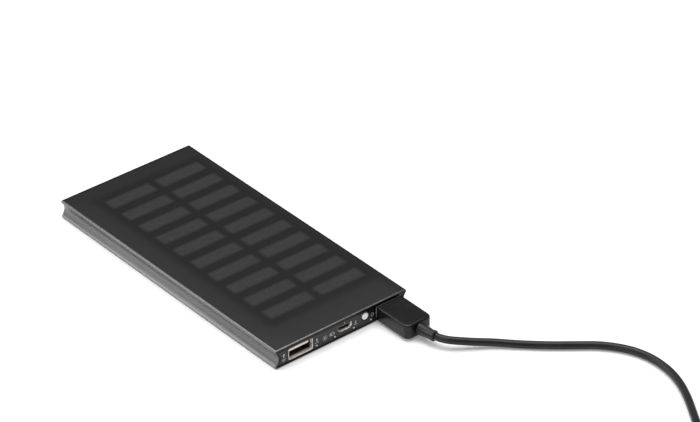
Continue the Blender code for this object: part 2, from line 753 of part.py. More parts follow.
def make_tie(inner, outer, low, high, holder, finishes):
    """A flat band round the coil. The band is straight, so it clears the coil's curved inside."""
    inner_clear = math.sqrt(inner**2 - (TIE_WIDTH / 2) ** 2) - FIT_GAP
    span = (inner_clear, outer, low, high)
    tie = solid("coil_tie", tie_rings(span, TIE_THICKNESS, TIE_WIDTH / 2), finishes["matt_black"], holder)
    cut(tie, tie_rings(span, 0.0, TIE_WIDTH))


def tie_rings(span, grow, reach):
    section = tie_section(*span, grow)
    return [[tie_point(r, across, z) for r, z in section] for across in (-reach, reach)]


def tie_section(inner, outer, low, high, grow):
    gap = 0.15
    corner = 0.8
    left, right = inner - grow, outer + gap + grow
    bottom, top = low - gap - grow, high + gap + grow
    return [
        (left + corner, bottom),
        (right - corner, bottom),
        (right, bottom + corner),
        (right, top - corner),
        (right - corner, top),
        (left + corner, top),
        (left, top - corner),
        (left, bottom + corner),
    ]


def tie_point(reach, across, height):
    x, y, z = around_coil(TIE_ANGLE, reach, height)
    turn = math.radians(TIE_ANGLE + 90.0)
    return (x + across * math.cos(turn), y + across * math.sin(turn), z)


def make_micro_plug(tail, holder, finishes):
    """The plug's pieces are drawn pointing along +Y from the origin, then moved as one."""
    plug = empty("micro_plug", (0.0, 0.0, 0.0))
    boot = [(FIT_GAP, 2.2), (3.0, 2.3), (6.0, 2.6), (MICRO_BOOT_END, 3.0)]
    solid("micro_plug_boot", turned_y((0.0, 0.0), boot, 16), finishes["cord"], plug)
    x, z = MICRO_GRIP_HALF_SIZE
    span = (-x, x, MICRO_GRIP_END, MICRO_BOOT_END + FIT_GAP, -z, z)
    rings = grip_rings(*span, MICRO_GRIP_CORNER, MICRO_GRIP_SOFTEN)
    solid("micro_plug_grip", rings, finishes["matt_black"], plug)
    section = [(x - MICRO_CENTRE[0], z - MICRO_CENTRE[1]) for x, z in micro_section(MICRO_PLUG_SHELL, 0.0)]
    rear = MICRO_GRIP_END + FIT_GAP
    shell = solid("micro_plug_shell", along_y(section, (rear, MICRO_TIP)), finishes["steel"], plug)
    inside = [(x * 0.92, z * 0.72) for x, z in section]
    cut(shell, along_y(inside, (rear - 1.0, MICRO_TIP + 1.0)))
    plug.location = Vector(tail[-1]) * MM
    plug.rotation_euler = (0.0, 0.0, math.radians(COIL_ENTRY_ANGLE + COIL_CLIMB + TAIL_SWEEP))
    plug.parent = holder
    plug.matrix_parent_inverse = holder.matrix_world.inverted()


def make_lead(finishes):
    holder = empty("lead", (USB_CENTRES["right"], GRIP_FRONT, USB_HEIGHT))
    make_plug(holder, finishes)
    cable("lead_cord", lead_in_route(), CORD_RADIUS, finishes["cord"], holder)
    make_coil(holder, finishes)
    tail = tail_route()
    cable("lead_tail", tail, CORD_RADIUS, finishes["cord"], holder)
    make_micro_plug(tail, holder, finishes)


def main():
    clear_scene()
    finishes = make_finishes()
    make_case(finishes)
    make_window(finishes)
    make_solar_panel(finishes)
    make_plates(finishes)
    for side in USB_CENTRES:
        make_usb_socket(side, finishes)
    make_micro_socket(finishes)
    make_button(finishes)
    make_lights(finishes)
    make_board(finishes)
    make_fixings(finishes)
    make_battery(finishes)
    make_wires(finishes)
    make_lead(finishes)


main()
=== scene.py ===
"""Looks of the solar phone charger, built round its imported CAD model.

Shapes are worked out in millimetres from the boxes of the CAD nodes that they stand for, and
scaled to metres as they become vertices.
"""

import math

import bmesh
import bpy
from mathutils import Matrix, Vector


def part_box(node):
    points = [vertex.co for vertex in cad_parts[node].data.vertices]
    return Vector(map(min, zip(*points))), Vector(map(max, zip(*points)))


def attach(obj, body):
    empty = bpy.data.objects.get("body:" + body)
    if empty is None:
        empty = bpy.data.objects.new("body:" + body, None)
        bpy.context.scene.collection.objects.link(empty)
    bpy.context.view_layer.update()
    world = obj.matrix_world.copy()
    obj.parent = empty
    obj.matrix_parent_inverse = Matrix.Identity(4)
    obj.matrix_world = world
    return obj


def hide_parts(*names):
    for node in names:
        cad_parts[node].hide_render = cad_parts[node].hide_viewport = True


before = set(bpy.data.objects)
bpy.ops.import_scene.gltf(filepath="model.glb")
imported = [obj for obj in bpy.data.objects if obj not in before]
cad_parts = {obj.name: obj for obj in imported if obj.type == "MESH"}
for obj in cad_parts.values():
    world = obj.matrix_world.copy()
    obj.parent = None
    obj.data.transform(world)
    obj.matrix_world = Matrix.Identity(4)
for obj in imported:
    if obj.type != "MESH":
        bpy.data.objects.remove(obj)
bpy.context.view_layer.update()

MM = 0.001

# Section of the case, as in the CAD model
END_ROLL = 0.55
LIP_ROUND = 0.8
SIDE_LIP = 1.1
SIDE_HOLLOW = 1.5
SIDE_STEPS = 24
CASE_FLOOR = 1.0
CASE_CEILING = 6.3
CAVITY_HALF_WIDTH = 33.4
MOUTH_DEPTH = 1.9
MOUTH_LOW = 0.8
MOUTH_HIGH = 7.9
MOUTH_HALF_WIDTH = 35.6
PLATE_GAP = 0.2
FIT_GAP = 0.3
THIN_GAP = 0.1
WINDOW_RIM = 0.9
SHARP_ANGLE = 32.0
BEYOND = 1.0  # how far a cutter reaches past what it cuts

# Solar cells: ten rows in each of two columns
CELL_ROWS = 10
CELL_DEPTH = 7.0
CELL_RISE = 0.05
CELL_SHOULDER = 0.7

# Sockets, button and lights
PLATE_CHAMFER = 0.12
BUTTON_RADIUS = 1.7
BUTTON_CLEARANCE = 0.35
LIGHT_CLEARANCE = 0.15
LIGHT_HEIGHT = 2.1
LIGHT_NUMBERS = (1, 2, 3, 4)
USB_CONTACTS = (-3.5, -1.0, 1.0, 3.5)
USB_BLADE = (4.6, 6.2)
MICRO_CUT_ACROSS = 1.2
MICRO_CUT_UP = 1.0
MICRO_WALL = 0.25
USB_INNER = (12.5, 5.12)
USB_FLANGE = (13.5, 5.9)
FLANGE_THICKNESS = 0.14
MICRO_FLANGE = 0.12
LIGHT_RADIUS = 0.5

# Lead
CORD_RADIUS = 1.8
BOOT_ROUTE = [(26.4, -98.8, 4.6), (26.5, -101.8, 4.62), (26.9, -104.7, 4.65), (27.6, -107.5, 4.7)]
LEAD_ROUTE = [
    (27.75, -107.9, 4.7),
    (28.5, -110.2, 4.62),
    (30.5, -113.0, 4.35),
    (33.9, -115.8, 3.85),
    (39.5, -119.8, 3.0),
    (46.2, -124.7, 2.3),
    (54.4, -132.6, 1.9),
    (63.3, -140.9, 1.85),
    (72.3, -148.4, 1.85),
    (79.0, -154.0, 1.85),
    (84.3, -160.2, 1.85),
    (88.4, -167.6, 1.85),
    (90.6, -176.5, 1.85),
    (90.2, -187.0, 1.85),
    (87.3, -197.0, 1.85),
    (82.0, -207.5, 1.85),
    (73.8, -220.5, 1.85),
    (63.2, -237.6, 2.0),
]
COIL_CENTRE = (73.5, -270.0)
COIL_RADIUS = 25.7
COIL_PITCH = 3.7
COIL_TURNS = 3
COIL_LOWER = 2.4
COIL_UPPER = 6.1
COIL_ENTRY_ANGLE = 148.0
COIL_CLIMB = 70.0
COIL_INNER = COIL_RADIUS - COIL_TURNS * COIL_PITCH
TAIL_SWEEP = 82.0
TAIL_OUT = 7.0
MICRO_AXIS = 3.6
MICRO_BOOT_END = 8.0
MICRO_GRIP_END = 25.0
MICRO_TIP = 31.0
MICRO_PLUG_SIZE = (6.9, 1.9)
TIE_ANGLE = 20.0
TIE_WIDTH = 8.0
TIE_GAP = 0.15
TIE_THICKNESS = 0.4

# Camera and lights: places, aims and sizes in metres, powers in watts
CAMERA_PLACE = (-0.8163, -1.0558, 0.9039)
CAMERA_AIM = (0.0672, -0.0029, 0.0)
CAMERA_LENS = 185.1
LIGHTS = {
    "overhead": ((0.1, 0.2, 1.6), (0.0, 0.0, 0.0), (1.6, 1.6), 29.0),
    "left_low": ((-0.4, -0.28, 0.2), (-0.03, -0.06, 0.0), (0.2, 0.12), 0.32),
    "left_rear": ((-1.0, 1.1, 0.72), (0.0, 0.0, 0.0), (1.3, 0.8), 11.0),
}


# Measures of the CAD nodes -------------------------------------------------------------------


def extent(node):
    """Left, right, front, rear, low and high of a CAD node, in millimetres."""
    low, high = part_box(node)
    return low.x / MM, high.x / MM, low.y / MM, high.y / MM, low.z / MM, high.z / MM


def middle_of(node):
    left, right, front, rear, low, high = extent(node)
    return (left + right) / 2, (front + rear) / 2, (low + high) / 2


def end_view(node):
    """Middle and size of a CAD node as seen along +Y."""
    left, right, _, _, low, high = extent(node)
    return ((left + right) / 2, (low + high) / 2), (right - left, high - low)


def cell_columns():
    return [middle_of("solar_string_left")[0], middle_of("solar_string_right")[0]]


column_left, column_right, column_front, column_rear = extent("solar_string_left")[:4]
CELL_WIDTH = column_right - column_left
CELL_PITCH = (column_rear - column_front - CELL_DEPTH) / (CELL_ROWS - 1)
CELL_ROW_YS = [column_front + CELL_DEPTH / 2 + CELL_PITCH * row for row in range(CELL_ROWS)]


# Finishes ------------------------------------------------------------------------------------


class Finish:
    """A material in the making, with short calls for the few kinds of node these finishes use."""

    def __init__(self, name, colour, roughness, metallic=0.0, specular=0.5, **sockets):
        self.material = bpy.data.materials.new(name)
        self.material.use_nodes = True
        self.tree = self.material.node_tree
        self.shader = self.tree.nodes["Principled BSDF"]
        self.shader.inputs["Base Color"].default_value = (*colour, 1.0)
        self.shader.inputs["Roughness"].default_value = roughness
        self.shader.inputs["Metallic"].default_value = metallic
        self.shader.inputs["Specular IOR Level"].default_value = specular
        for socket, value in sockets.items():
            self.shader.inputs[socket.replace("_", " ")].default_value = value
        self.place = self.tree.nodes.new("ShaderNodeTexCoord").outputs["Object"]

    def feed(self, socket, value):
        """Set an input to a number or colour, or join it to another node's output."""
        if isinstance(value, bpy.types.NodeSocket):
            self.tree.links.new(value, socket)
        else:
            socket.default_value = value

    def math(self, operation, first, second=0.0):
        node = self.tree.nodes.new("ShaderNodeMath")
        node.operation = operation
        self.feed(node.inputs[0], first)
        self.feed(node.inputs[1], second)
        return node.outputs[0]

    def away(self, value, middle):
        """How far a value is from a middle."""
        return self.math("ABSOLUTE", self.math("SUBTRACT", value, middle))

    def comb(self, value, per_metre):
        """Rises to 0.5 at this many even lines to the metre, and falls to 0 between them."""
        return self.away(self.math("FRACT", self.math("MULTIPLY", value, per_metre)), 0.5)

    def axes(self):
        node = self.tree.nodes.new("ShaderNodeSeparateXYZ")
        self.feed(node.inputs[0], self.place)
        return node.outputs["X"], node.outputs["Y"], node.outputs["Z"]

    def stretched(self, stretch):
        node = self.tree.nodes.new("ShaderNodeMapping")
        self.feed(node.inputs["Vector"], self.place)
        node.inputs["Scale"].default_value = stretch
        return node.outputs[0]

    def noise(self, scale, stretch=(1.0, 1.0, 1.0), detail=2.0):
        node = self.tree.nodes.new("ShaderNodeTexNoise")
        self.feed(node.inputs["Vector"], self.stretched(stretch))
        node.inputs["Scale"].default_value = scale
        node.inputs["Detail"].default_value = detail
        return node.outputs["Fac"]

    def between(self, value, low, high, start, end, smooth=False):
        """Map a value's range low..high to start..end."""
        node = self.tree.nodes.new("ShaderNodeMapRange")
        if smooth:
            node.interpolation_type = "SMOOTHSTEP"
        for socket, number in zip(node.inputs, (value, low, high, start, end)):
            self.feed(socket, number)
        return node.outputs[0]

    def blend(self, share, first, second):
        node = self.tree.nodes.new("ShaderNodeMix")
        node.data_type = "RGBA"
        self.feed(node.inputs["Factor"], share)
        for socket, value in zip((node.inputs[6], node.inputs[7]), (first, second)):
            colour = (*value, 1.0) if isinstance(value, tuple) else value
            self.feed(socket, colour)
        return node.outputs[2]

    def colour(self, value):
        self.feed(self.shader.inputs["Base Color"], value)

    def roughness(self, value):
        self.feed(self.shader.inputs["Roughness"], value)

    def bump(self, height, distance, strength=1.0):
        node = self.tree.nodes.new("ShaderNodeBump")
        self.feed(node.inputs["Height"], height)
        node.inputs["Distance"].default_value = distance
        node.inputs["Strength"].default_value = strength
        self.tree.links.new(node.outputs[0], self.shader.inputs["Normal"])


def brushed_case():
    """Gunmetal anodising drawn out along the case, with a little handling wear, and painted shade on its
    end faces.
    """
    f = Finish("brushed_case", (0.2, 0.2, 0.2), 0.36, 1.0)
    lines = f.noise(900.0, (1.0, 0.012, 1.0), 3.0)
    smudge = f.noise(38.0)
    shade = f.blend(f.between(lines, 0.3, 0.7, 0.0, 1.0), (0.13, 0.13, 0.13), (0.2, 0.2, 0.2))
    shade = f.blend(f.between(smudge, 0.45, 0.75, 0.0, 0.35), shade, (0.13, 0.13, 0.13))
    # Painted shade: the end faces go near-black, standing in for the end plates' shadow under the rolled
    # rim.
    _, y, _ = f.axes()
    end = (extent("body_shell")[3] - 0.12) * MM
    end_face_shade = f.between(f.math("ABSOLUTE", y), end, end + 0.0001, 0.0, 1.0)
    f.colour(f.blend(end_face_shade, shade, (0.025, 0.025, 0.025)))
    f.roughness(f.between(lines, 0.25, 0.75, 0.3, 0.44))
    f.bump(lines, 0.00002, 0.5)
    return f.material


def cell_mask(f, soft):
    """1 over each solar cell and 0 between them, with edges this soft, in metres."""
    x, y, _ = f.axes()
    left, right = [column * MM for column in cell_columns()]
    across = f.away(f.away(x, (left + right) / 2), (right - left) / 2)
    half_width, half_depth = CELL_WIDTH / 2 * MM, CELL_DEPTH / 2 * MM
    in_column = f.between(across, half_width - soft, half_width + soft, 1.0, 0.0, True)
    rows = f.math("DIVIDE", f.math("SUBTRACT", y, CELL_ROW_YS[0] * MM), CELL_PITCH * MM)
    nearest = f.math("MINIMUM", f.math("MAXIMUM", f.math("ROUND", rows), 0.0), CELL_ROWS - 1.0)
    along = f.math("MULTIPLY", f.away(rows, nearest), CELL_PITCH * MM)
    in_row = f.between(along, half_depth - soft, half_depth + soft, 1.0, 0.0, True)
    return f.math("MULTIPLY", in_column, in_row)


def board_mask(f, soft):
    """1 over the panel's board, which shows a little darker than the sheet's printed border."""
    x, y, _ = f.axes()
    left, right, front, rear = extent("solar_board")[:4]
    inside = 1.0
    for value, low, high in ((x, left, right), (y, front, rear)):
        middle, half = (low + high) / 2 * MM, (high - low) / 2 * MM
        within = f.between(f.away(value, middle), half - soft, half + soft, 1.0, 0.0, True)
        inside = f.math("MULTIPLY", inside, within)
    return inside


def cover_sheet():
    """Satin black sheet over the panel: cells show through it a little lighter than its board."""
    f = Finish("cover_sheet", (0.03, 0.03, 0.03), 0.48, specular=0.2)
    cells = cell_mask(f, 0.0013)
    board = board_mask(f, 0.003)
    _, y, _ = f.axes()
    lines = f.between(f.comb(y, 720.0), 0.36, 0.5, 0.0, 0.28)
    film = f.blend(board, (0.012, 0.012, 0.012), (0.004, 0.004, 0.004))
    silicon = f.blend(lines, (0.023, 0.023, 0.023), (0.036, 0.036, 0.036))
    mottle = f.between(f.noise(420.0, detail=3.0), 0.4, 0.7, 0.0, 0.7)
    silicon = f.blend(mottle, silicon, (0.031, 0.031, 0.031))
    grain = f.noise(2600.0, detail=2.0)
    toned = f.blend(cells, film, silicon)
    f.colour(f.blend(f.between(grain, 0.3, 0.7, 0.0, 0.1), toned, (0.04, 0.04, 0.04)))
    f.roughness(f.between(grain, 0.3, 0.7, 0.42, 0.55))
    f.bump(grain, 0.000012, 0.4)
    return f.material


def moulded(name, colour, roughness, specular=0.5, grain=1800.0, depth=0.00002):
    """Plastic with a fine moulded grain and a slightly uneven sheen."""
    f = Finish(name, colour, roughness, specular=specular)
    fine = f.noise(grain, detail=2.0)
    cloud = f.noise(90.0, detail=3.0)
    lighter = tuple(min(1.0, c * 1.25 + 0.002) for c in colour)
    f.colour(f.blend(f.between(cloud, 0.35, 0.7, 0.0, 0.6), colour, lighter))
    f.roughness(f.between(fine, 0.3, 0.7, roughness - 0.06, roughness + 0.06))
    f.bump(fine, depth, 0.5)
    return f.material


def glossy(name, colour, roughness, specular=0.5, coat=0.0):
    """Polished plastic: clean, with faint smears in its shine."""
    f = Finish(name, colour, roughness, specular=specular, Coat_Weight=coat)
    smear = f.noise(55.0, (1.0, 1.0, 2.5), 4.0)
    lighter = tuple(min(1.0, c * 1.3 + 0.001) for c in colour)
    f.colour(f.blend(f.between(smear, 0.4, 0.7, 0.0, 0.5), colour, lighter))
    f.roughness(f.between(smear, 0.3, 0.75, roughness * 0.8, roughness * 1.5))
    return f.material


def plated(name, colour, roughness, painted_shade_start=None):
    """Nickel plate with rubbed streaks along +Y; if a start depth is given, painted shade darkens it beyond
    that depth, for a socket's unlit inside.
    """
    f = Finish(name, colour, roughness, 1.0)
    rubs = f.noise(1400.0, (1.0, 0.05, 1.0), 2.0)
    tarnish = f.noise(260.0, detail=3.0)
    dull = tuple(c * 0.72 for c in colour)
    shade = f.blend(f.between(tarnish, 0.42, 0.75, 0.0, 0.7), colour, dull)
    if painted_shade_start is not None:
        # Painted shade: the plating goes dark deeper into the socket, where little light reaches.
        _, y, _ = f.axes()
        depth = f.between(y, painted_shade_start, painted_shade_start + 0.0012, 0.0, 1.0)
        shade = f.blend(depth, shade, (0.09, 0.075, 0.06))
    f.colour(shade)
    f.roughness(f.between(rubs, 0.3, 0.7, roughness * 0.7, roughness * 1.5))
    f.bump(rubs, 0.00001, 0.3)
    return f.material


def cord_jacket():
    """Satin rubber jacket with faint lines and lint."""
    f = Finish("cord_jacket", (0.012, 0.012, 0.014), 0.32, specular=0.3)
    fine = f.noise(1500.0, detail=3.0)
    bands = f.noise(120.0, detail=2.0)
    share = f.between(bands, 0.35, 0.7, 0.0, 1.0)
    f.colour(f.blend(share, (0.009, 0.009, 0.0105), (0.015, 0.015, 0.0175)))
    f.roughness(f.between(fine, 0.3, 0.7, 0.27, 0.4))
    f.bump(fine, 0.00002, 0.4)
    return f.material


def solder_mask():
    """Green board with paler copper runs under the mask."""
    f = Finish("solder_mask", (0.015, 0.08, 0.035), 0.35, specular=0.5)
    cracks = f.tree.nodes.new("ShaderNodeTexVoronoi")
    cracks.feature = "DISTANCE_TO_EDGE"
    f.feed(cracks.inputs["Vector"], f.stretched((1.0, 0.35, 1.0)))
    cracks.inputs["Scale"].default_value = 420.0
    runs = f.between(cracks.outputs["Distance"], 0.03, 0.07, 1.0, 0.0)
    f.colour(f.blend(runs, (0.012, 0.07, 0.03), (0.05, 0.2, 0.08)))
    f.roughness(f.between(f.noise(600.0), 0.3, 0.7, 0.28, 0.42))
    f.bump(runs, 0.00003, 0.5)
    return f.material


def pouch_foil():
    """Laminated battery foil: bright, softly creased."""
    f = Finish("pouch_foil", (0.55, 0.56, 0.58), 0.38, 0.85)
    crease = f.noise(160.0, (1.0, 0.6, 1.0), 5.0)
    f.colour(f.blend(f.between(crease, 0.35, 0.7, 0.0, 1.0), (0.46, 0.47, 0.49), (0.62, 0.63, 0.65)))
    f.roughness(f.between(crease, 0.3, 0.7, 0.3, 0.48))
    f.bump(crease, 0.00015, 0.5)
    return f.material


def silicon_cell():
    """Dark blue-grey silicon with fine silver fingers."""
    f = Finish("silicon_cell", (0.02, 0.022, 0.03), 0.25, specular=0.6)
    _, y, _ = f.axes()
    lines = f.between(f.comb(y, 900.0), 0.44, 0.5, 0.0, 1.0)
    crystals = f.noise(380.0, detail=4.0)
    share = f.between(crystals, 0.35, 0.65, 0.0, 1.0)
    silicon = f.blend(share, (0.016, 0.018, 0.026), (0.03, 0.034, 0.048))
    f.colour(f.blend(lines, silicon, (0.35, 0.35, 0.36)))
    f.roughness(f.between(crystals, 0.3, 0.7, 0.2, 0.32))
    return f.material


def woven_tape():
    """Hook and loop tape: a close black weave."""
    f = Finish("woven_tape", (0.02, 0.02, 0.022), 0.85, specular=0.2, Sheen_Weight=0.3)
    warp = f.noise(2600.0, (1.0, 0.3, 1.0), 1.0)
    weft = f.noise(2600.0, (0.3, 1.0, 1.0), 1.0)
    weave = f.math("MAXIMUM", warp, weft)
    share = f.between(weave, 0.4, 0.75, 0.0, 1.0)
    f.colour(f.blend(share, (0.012, 0.012, 0.013), (0.045, 0.045, 0.048)))
    f.bump(weave, 0.0001, 0.8)
    return f.material


def pale_floor():
    """Near-white floor that gives off a little light, so it stays pale in shadow."""
    f = Finish("pale_floor", (0.93, 0.93, 0.93), 0.7, specular=0.1, Emission_Strength=0.15)
    f.shader.inputs["Emission Color"].default_value = (1.0, 1.0, 1.0, 1.0)
    cloud = f.noise(3.0, detail=2.0)
    f.colour(f.blend(cloud, (0.925, 0.925, 0.93), (0.94, 0.94, 0.94)))
    return f.material


def make_finishes():
    """Every material by the short name that the pieces ask for."""
    socket_face = extent("usb_out_left_shell")[2] * MM
    return {
        "case": brushed_case(),
        "cover": cover_sheet(),
        "plate": glossy("gloss_plate", (0.006, 0.006, 0.0065), 0.16, specular=0.35),
        # The socket nickel gets painted shade inside, from just behind the socket's face.
        "nickel": plated("socket_nickel", (0.82, 0.77, 0.72), 0.4, socket_face + 0.0009),
        "plug_nickel": plated("plug_nickel", (0.72, 0.72, 0.71), 0.2),
        "gold": plated("contact_gold", (0.85, 0.6, 0.22), 0.22),
        "solder": plated("tinned_metal", (0.68, 0.68, 0.7), 0.3),
        "black": moulded("black_plastic", (0.012, 0.012, 0.013), 0.5),
        "grip": moulded("grip_plastic", (0.0045, 0.0045, 0.0048), 0.25, specular=0.3),
        "white": moulded("white_plastic", (0.9, 0.9, 0.9), 0.38),
        "ivory": moulded("ivory_plastic", (0.8, 0.76, 0.72), 0.42),
        "lens": glossy("lens_plastic", (0.62, 0.63, 0.65), 0.12, coat=0.4),
        "mark": moulded("printed_mark", (0.4, 0.4, 0.4), 0.5),
        "board": solder_mask(),
        "panel": moulded("panel_board", (0.014, 0.014, 0.015), 0.6),
        "foil": pouch_foil(),
        "cell": silicon_cell(),
        "cord": cord_jacket(),
        "red": glossy("red_wire", (0.45, 0.02, 0.02), 0.35),
        "tape": woven_tape(),
    }


# Shapes --------------------------------------------------------------------------------------


def along_x(outline, stations):
    return [[(x, y, z) for y, z in outline] for x in stations]


def along_y(outline, stations):
    return [[(x, y, z) for x, z in outline] for y in stations]


def along_z(outline, stations):
    return [[(x, y, z) for x, y in outline] for z in stations]


def rectangle(left, right, low, high):
    return [(left, low), (right, low), (right, high), (left, high)]


def quarter(x, y, radius, start, steps):
    """Points of a quarter circle round a middle, from this many degrees on."""
    turns = [math.radians(start + 90.0 * i / steps) for i in range(steps + 1)]
    return [(x + radius * math.cos(turn), y + radius * math.sin(turn)) for turn in turns]


def rounded(left, right, low, high, radius, steps=5):
    """Outline of a rectangle with round corners, anticlockwise from its lower left."""
    radius = max(0.01, min(radius, (right - left) / 2 - 0.001, (high - low) / 2 - 0.001))
    points = quarter(left + radius, low + radius, radius, 180.0, steps)
    points += quarter(right - radius, low + radius, radius, 270.0, steps)
    points += quarter(right - radius, high - radius, radius, 0.0, steps)
    return points + quarter(left + radius, high - radius, radius, 90.0, steps)


def centred(middle, size, radius, grow=0.0):
    half_width, half_height = size[0] / 2 + grow, size[1] / 2 + grow
    x, z = middle
    return rounded(x - half_width, x + half_width, z - half_height, z + half_height, radius + grow)


def circle(middle, radius, sides):
    turns = [2 * math.pi * i / sides for i in range(sides)]
    return [(middle[0] + radius * math.cos(a), middle[1] + radius * math.sin(a)) for a in turns]


def turned_y(middle, profile, sides=40):
    return [[(x, y, z) for x, z in circle(middle, radius, sides)] for y, radius in profile]


def turned_z(middle, profile, sides=40):
    return [[(x, y, z) for x, y in circle(middle, radius, sides)] for z, radius in profile]


def box(left, right, front, rear, low, high):
    return along_z(rectangle(left, right, front, rear), (low, high))


def rolled(low, high, edge, steps):
    """(inset, height) pairs up over a rolled lower edge and in again over the upper one."""
    turns = [math.radians(90.0 * i / steps) for i in range(steps + 1)]
    pairs = [(edge * (1 - math.sin(turn)), edge * (1 - math.cos(turn))) for turn in turns]
    lower = [(inset, low + rise) for inset, rise in pairs]
    return lower, [(inset, high - rise) for inset, rise in reversed(pairs)]


def soft_box(left, right, front, rear, low, high, corner, edge):
    """A box with round corners in plan and rolled top and bottom edges."""
    lower, upper = rolled(low, high, edge, 3)
    rings = []
    for inset, height in lower + upper:
        outline = rounded(left + inset, right - inset, front + inset, rear - inset, corner)
        rings += along_z(outline, (height,))
    return rings


def bars(middles, half, *rest):
    """Soft boxes side by side, each this wide either way of its middle."""
    return [soft_box(middle - half, middle + half, *rest) for middle in middles]


def add_rings(builder, rings, ring_closed=False):
    """Skin a run of rings in a bmesh, capped at its ends or joined end to end."""
    loops = [[builder.verts.new(Vector(point) * MM) for point in ring] for ring in rings]
    pairs = list(zip(loops, loops[1:]))
    faces = []
    if ring_closed:
        pairs.append((loops[-1], loops[0]))
    else:
        faces += [builder.faces.new(loops[0]), builder.faces.new(loops[-1])]
    for first, second in pairs:
        for i, corner in enumerate(first):
            j = (i + 1) % len(first)
            faces.append(builder.faces.new((corner, first[j], second[j], second[i])))
    bmesh.ops.recalc_face_normals(builder, faces=faces)


def mesh_from(builder, name, angle=SHARP_ANGLE):
    """Turn a bmesh into a mesh that is smooth but for edges sharper than the angle."""
    mesh = bpy.data.meshes.new(name)
    builder.to_mesh(mesh)
    builder.free()
    mesh.shade_smooth()
    mesh.set_sharp_from_angle(angle=math.radians(angle))
    return mesh


def mesh_of(name, solids, closed_solids=()):
    """One mesh from several solids: capped runs of rings, and runs joined end to end."""
    builder = bmesh.new()
    for rings in solids:
        add_rings(builder, rings)
    for rings in closed_solids:
        add_rings(builder, rings, ring_closed=True)
    return mesh_from(builder, name)


def show(name, data, finish, body, stands_for=()):
    """Put a piece in the scene on its body, give it its finish, and hide the nodes it replaces."""
    piece = bpy.data.objects.new(name, data)
    bpy.context.scene.collection.objects.link(piece)
    data.materials.append(finishes[finish])
    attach(piece, body)
    if stands_for:
        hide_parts(*stands_for)
    return piece


def carve(mesh, cutters, name):
    """Cut shapes out of a mesh and return the result as a new mesh."""
    scene = bpy.context.scene
    blank = bpy.data.objects.new(name, mesh)
    scene.collection.objects.link(blank)
    tools = []
    for rings in cutters:
        tool = bpy.data.objects.new(name, mesh_of(name, [rings]))
        scene.collection.objects.link(tool)
        tools.append(tool)
        boolean = blank.modifiers.new("cut", "BOOLEAN")
        boolean.operation = "DIFFERENCE"
        boolean.object = tool
    graph = bpy.context.evaluated_depsgraph_get()
    result = bpy.data.meshes.new_from_object(blank.evaluated_get(graph))
    for done in [blank, *tools]:
        bpy.data.objects.remove(done, do_unlink=True)
    result.materials.clear()
    result.shade_smooth()
    result.set_sharp_from_angle(angle=math.radians(SHARP_ANGLE))
    return result


def make_piece(name, solids, finish, stands_for=(), body="charger", closed=(), holes=()):
    """Make a piece from capped and closed runs of rings, less its holes, and show it."""
    mesh = mesh_of(name, solids, closed)
    if holes:
        mesh = carve(mesh, holes, name)
    return show(name, mesh, finish, body, stands_for)


def smooth_curve(route, spacing):
    """Points at even spacing along a Catmull-Rom curve through the route."""
    knots = [Vector(point) for point in route]
    knots = [2 * knots[0] - knots[1], *knots, 2 * knots[-1] - knots[-2]]
    fine = []
    steps = 16
    for a, b, c, d in zip(knots, knots[1:], knots[2:], knots[3:]):
        for i in range(steps):
            t = i / steps
            pull = (c - a) * t + (2 * a - 5 * b + 4 * c - d) * t**2 + (3 * b - a - 3 * c + d) * t**3
            fine.append(b + pull / 2)
    fine.append(knots[-2])
    lengths = [0.0]
    for first, second in zip(fine, fine[1:]):
        lengths.append(lengths[-1] + (second - first).length)
    count = max(2, round(lengths[-1] / spacing))
    even = []
    k = 0
    for i in range(count + 1):
        target = lengths[-1] * i / count
        while k < len(fine) - 2 and lengths[k + 1] < target:
            k += 1
        share = (target - lengths[k]) / (lengths[k + 1] - lengths[k])
        even.append(fine[k].lerp(fine[k + 1], share))
    return even


def swept(route, radii, sides=24):
    """Round rings along a route, kept from twisting by carrying one direction along it."""
    points = [Vector(point) for point in route]
    rings = []
    side = Vector((0, 0, 1))
    for i, point in enumerate(points):
        before = points[max(i - 1, 0)]
        after = points[min(i + 1, len(points) - 1)]
        heading = (after - before).normalized()
        side = (side - heading * side.dot(heading)).normalized()
        other = heading.cross(side)
        ring = []
        for k in range(sides):
            turn = 2 * math.pi * k / sides
            ring.append(point + (side * math.cos(turn) + other * math.sin(turn)) * radii[i])
        rings.append(ring)
    return rings


# Case ----------------------------------------------------------------------------------------


def hollow_section(half_width, low, high, lip, corner):
    """Outline across the case: flat top and bottom, hollow sides between straight lips."""
    right = quarter(half_width - corner, low + corner, corner, -90.0, 4)
    for i in range(SIDE_STEPS + 1):
        share = i / SIDE_STEPS
        hollow = SIDE_HOLLOW * (1 - (2 * share - 1) ** 2)
        right.append((half_width - hollow, low + lip + (high - low - 2 * lip) * share))
    right += quarter(half_width - corner, high - corner, corner, 0.0, 4)
    return right + [(-x, z) for x, z in reversed(right)]


def mouth_outline(gap):
    low, high = MOUTH_LOW + gap, MOUTH_HIGH - gap
    return hollow_section(MOUTH_HALF_WIDTH - gap, low, high, 0.6 - gap, 0.3)


def case_rings():
    """The case's outside, with its cut ends rolled over by a small round."""
    left, right, front, rear, low, high = extent("body_shell")
    half = (right - left) / 2
    near_end, far_end = rolled(front, rear, END_ROLL, 4)
    rings = []
    for inset, station in near_end + far_end:
        corner = LIP_ROUND - 0.6 * inset
        lip = SIDE_LIP - inset
        outline = hollow_section(half - inset, low + inset, high - inset, lip, corner)
        rings += along_y(outline, (station,))
    return rings


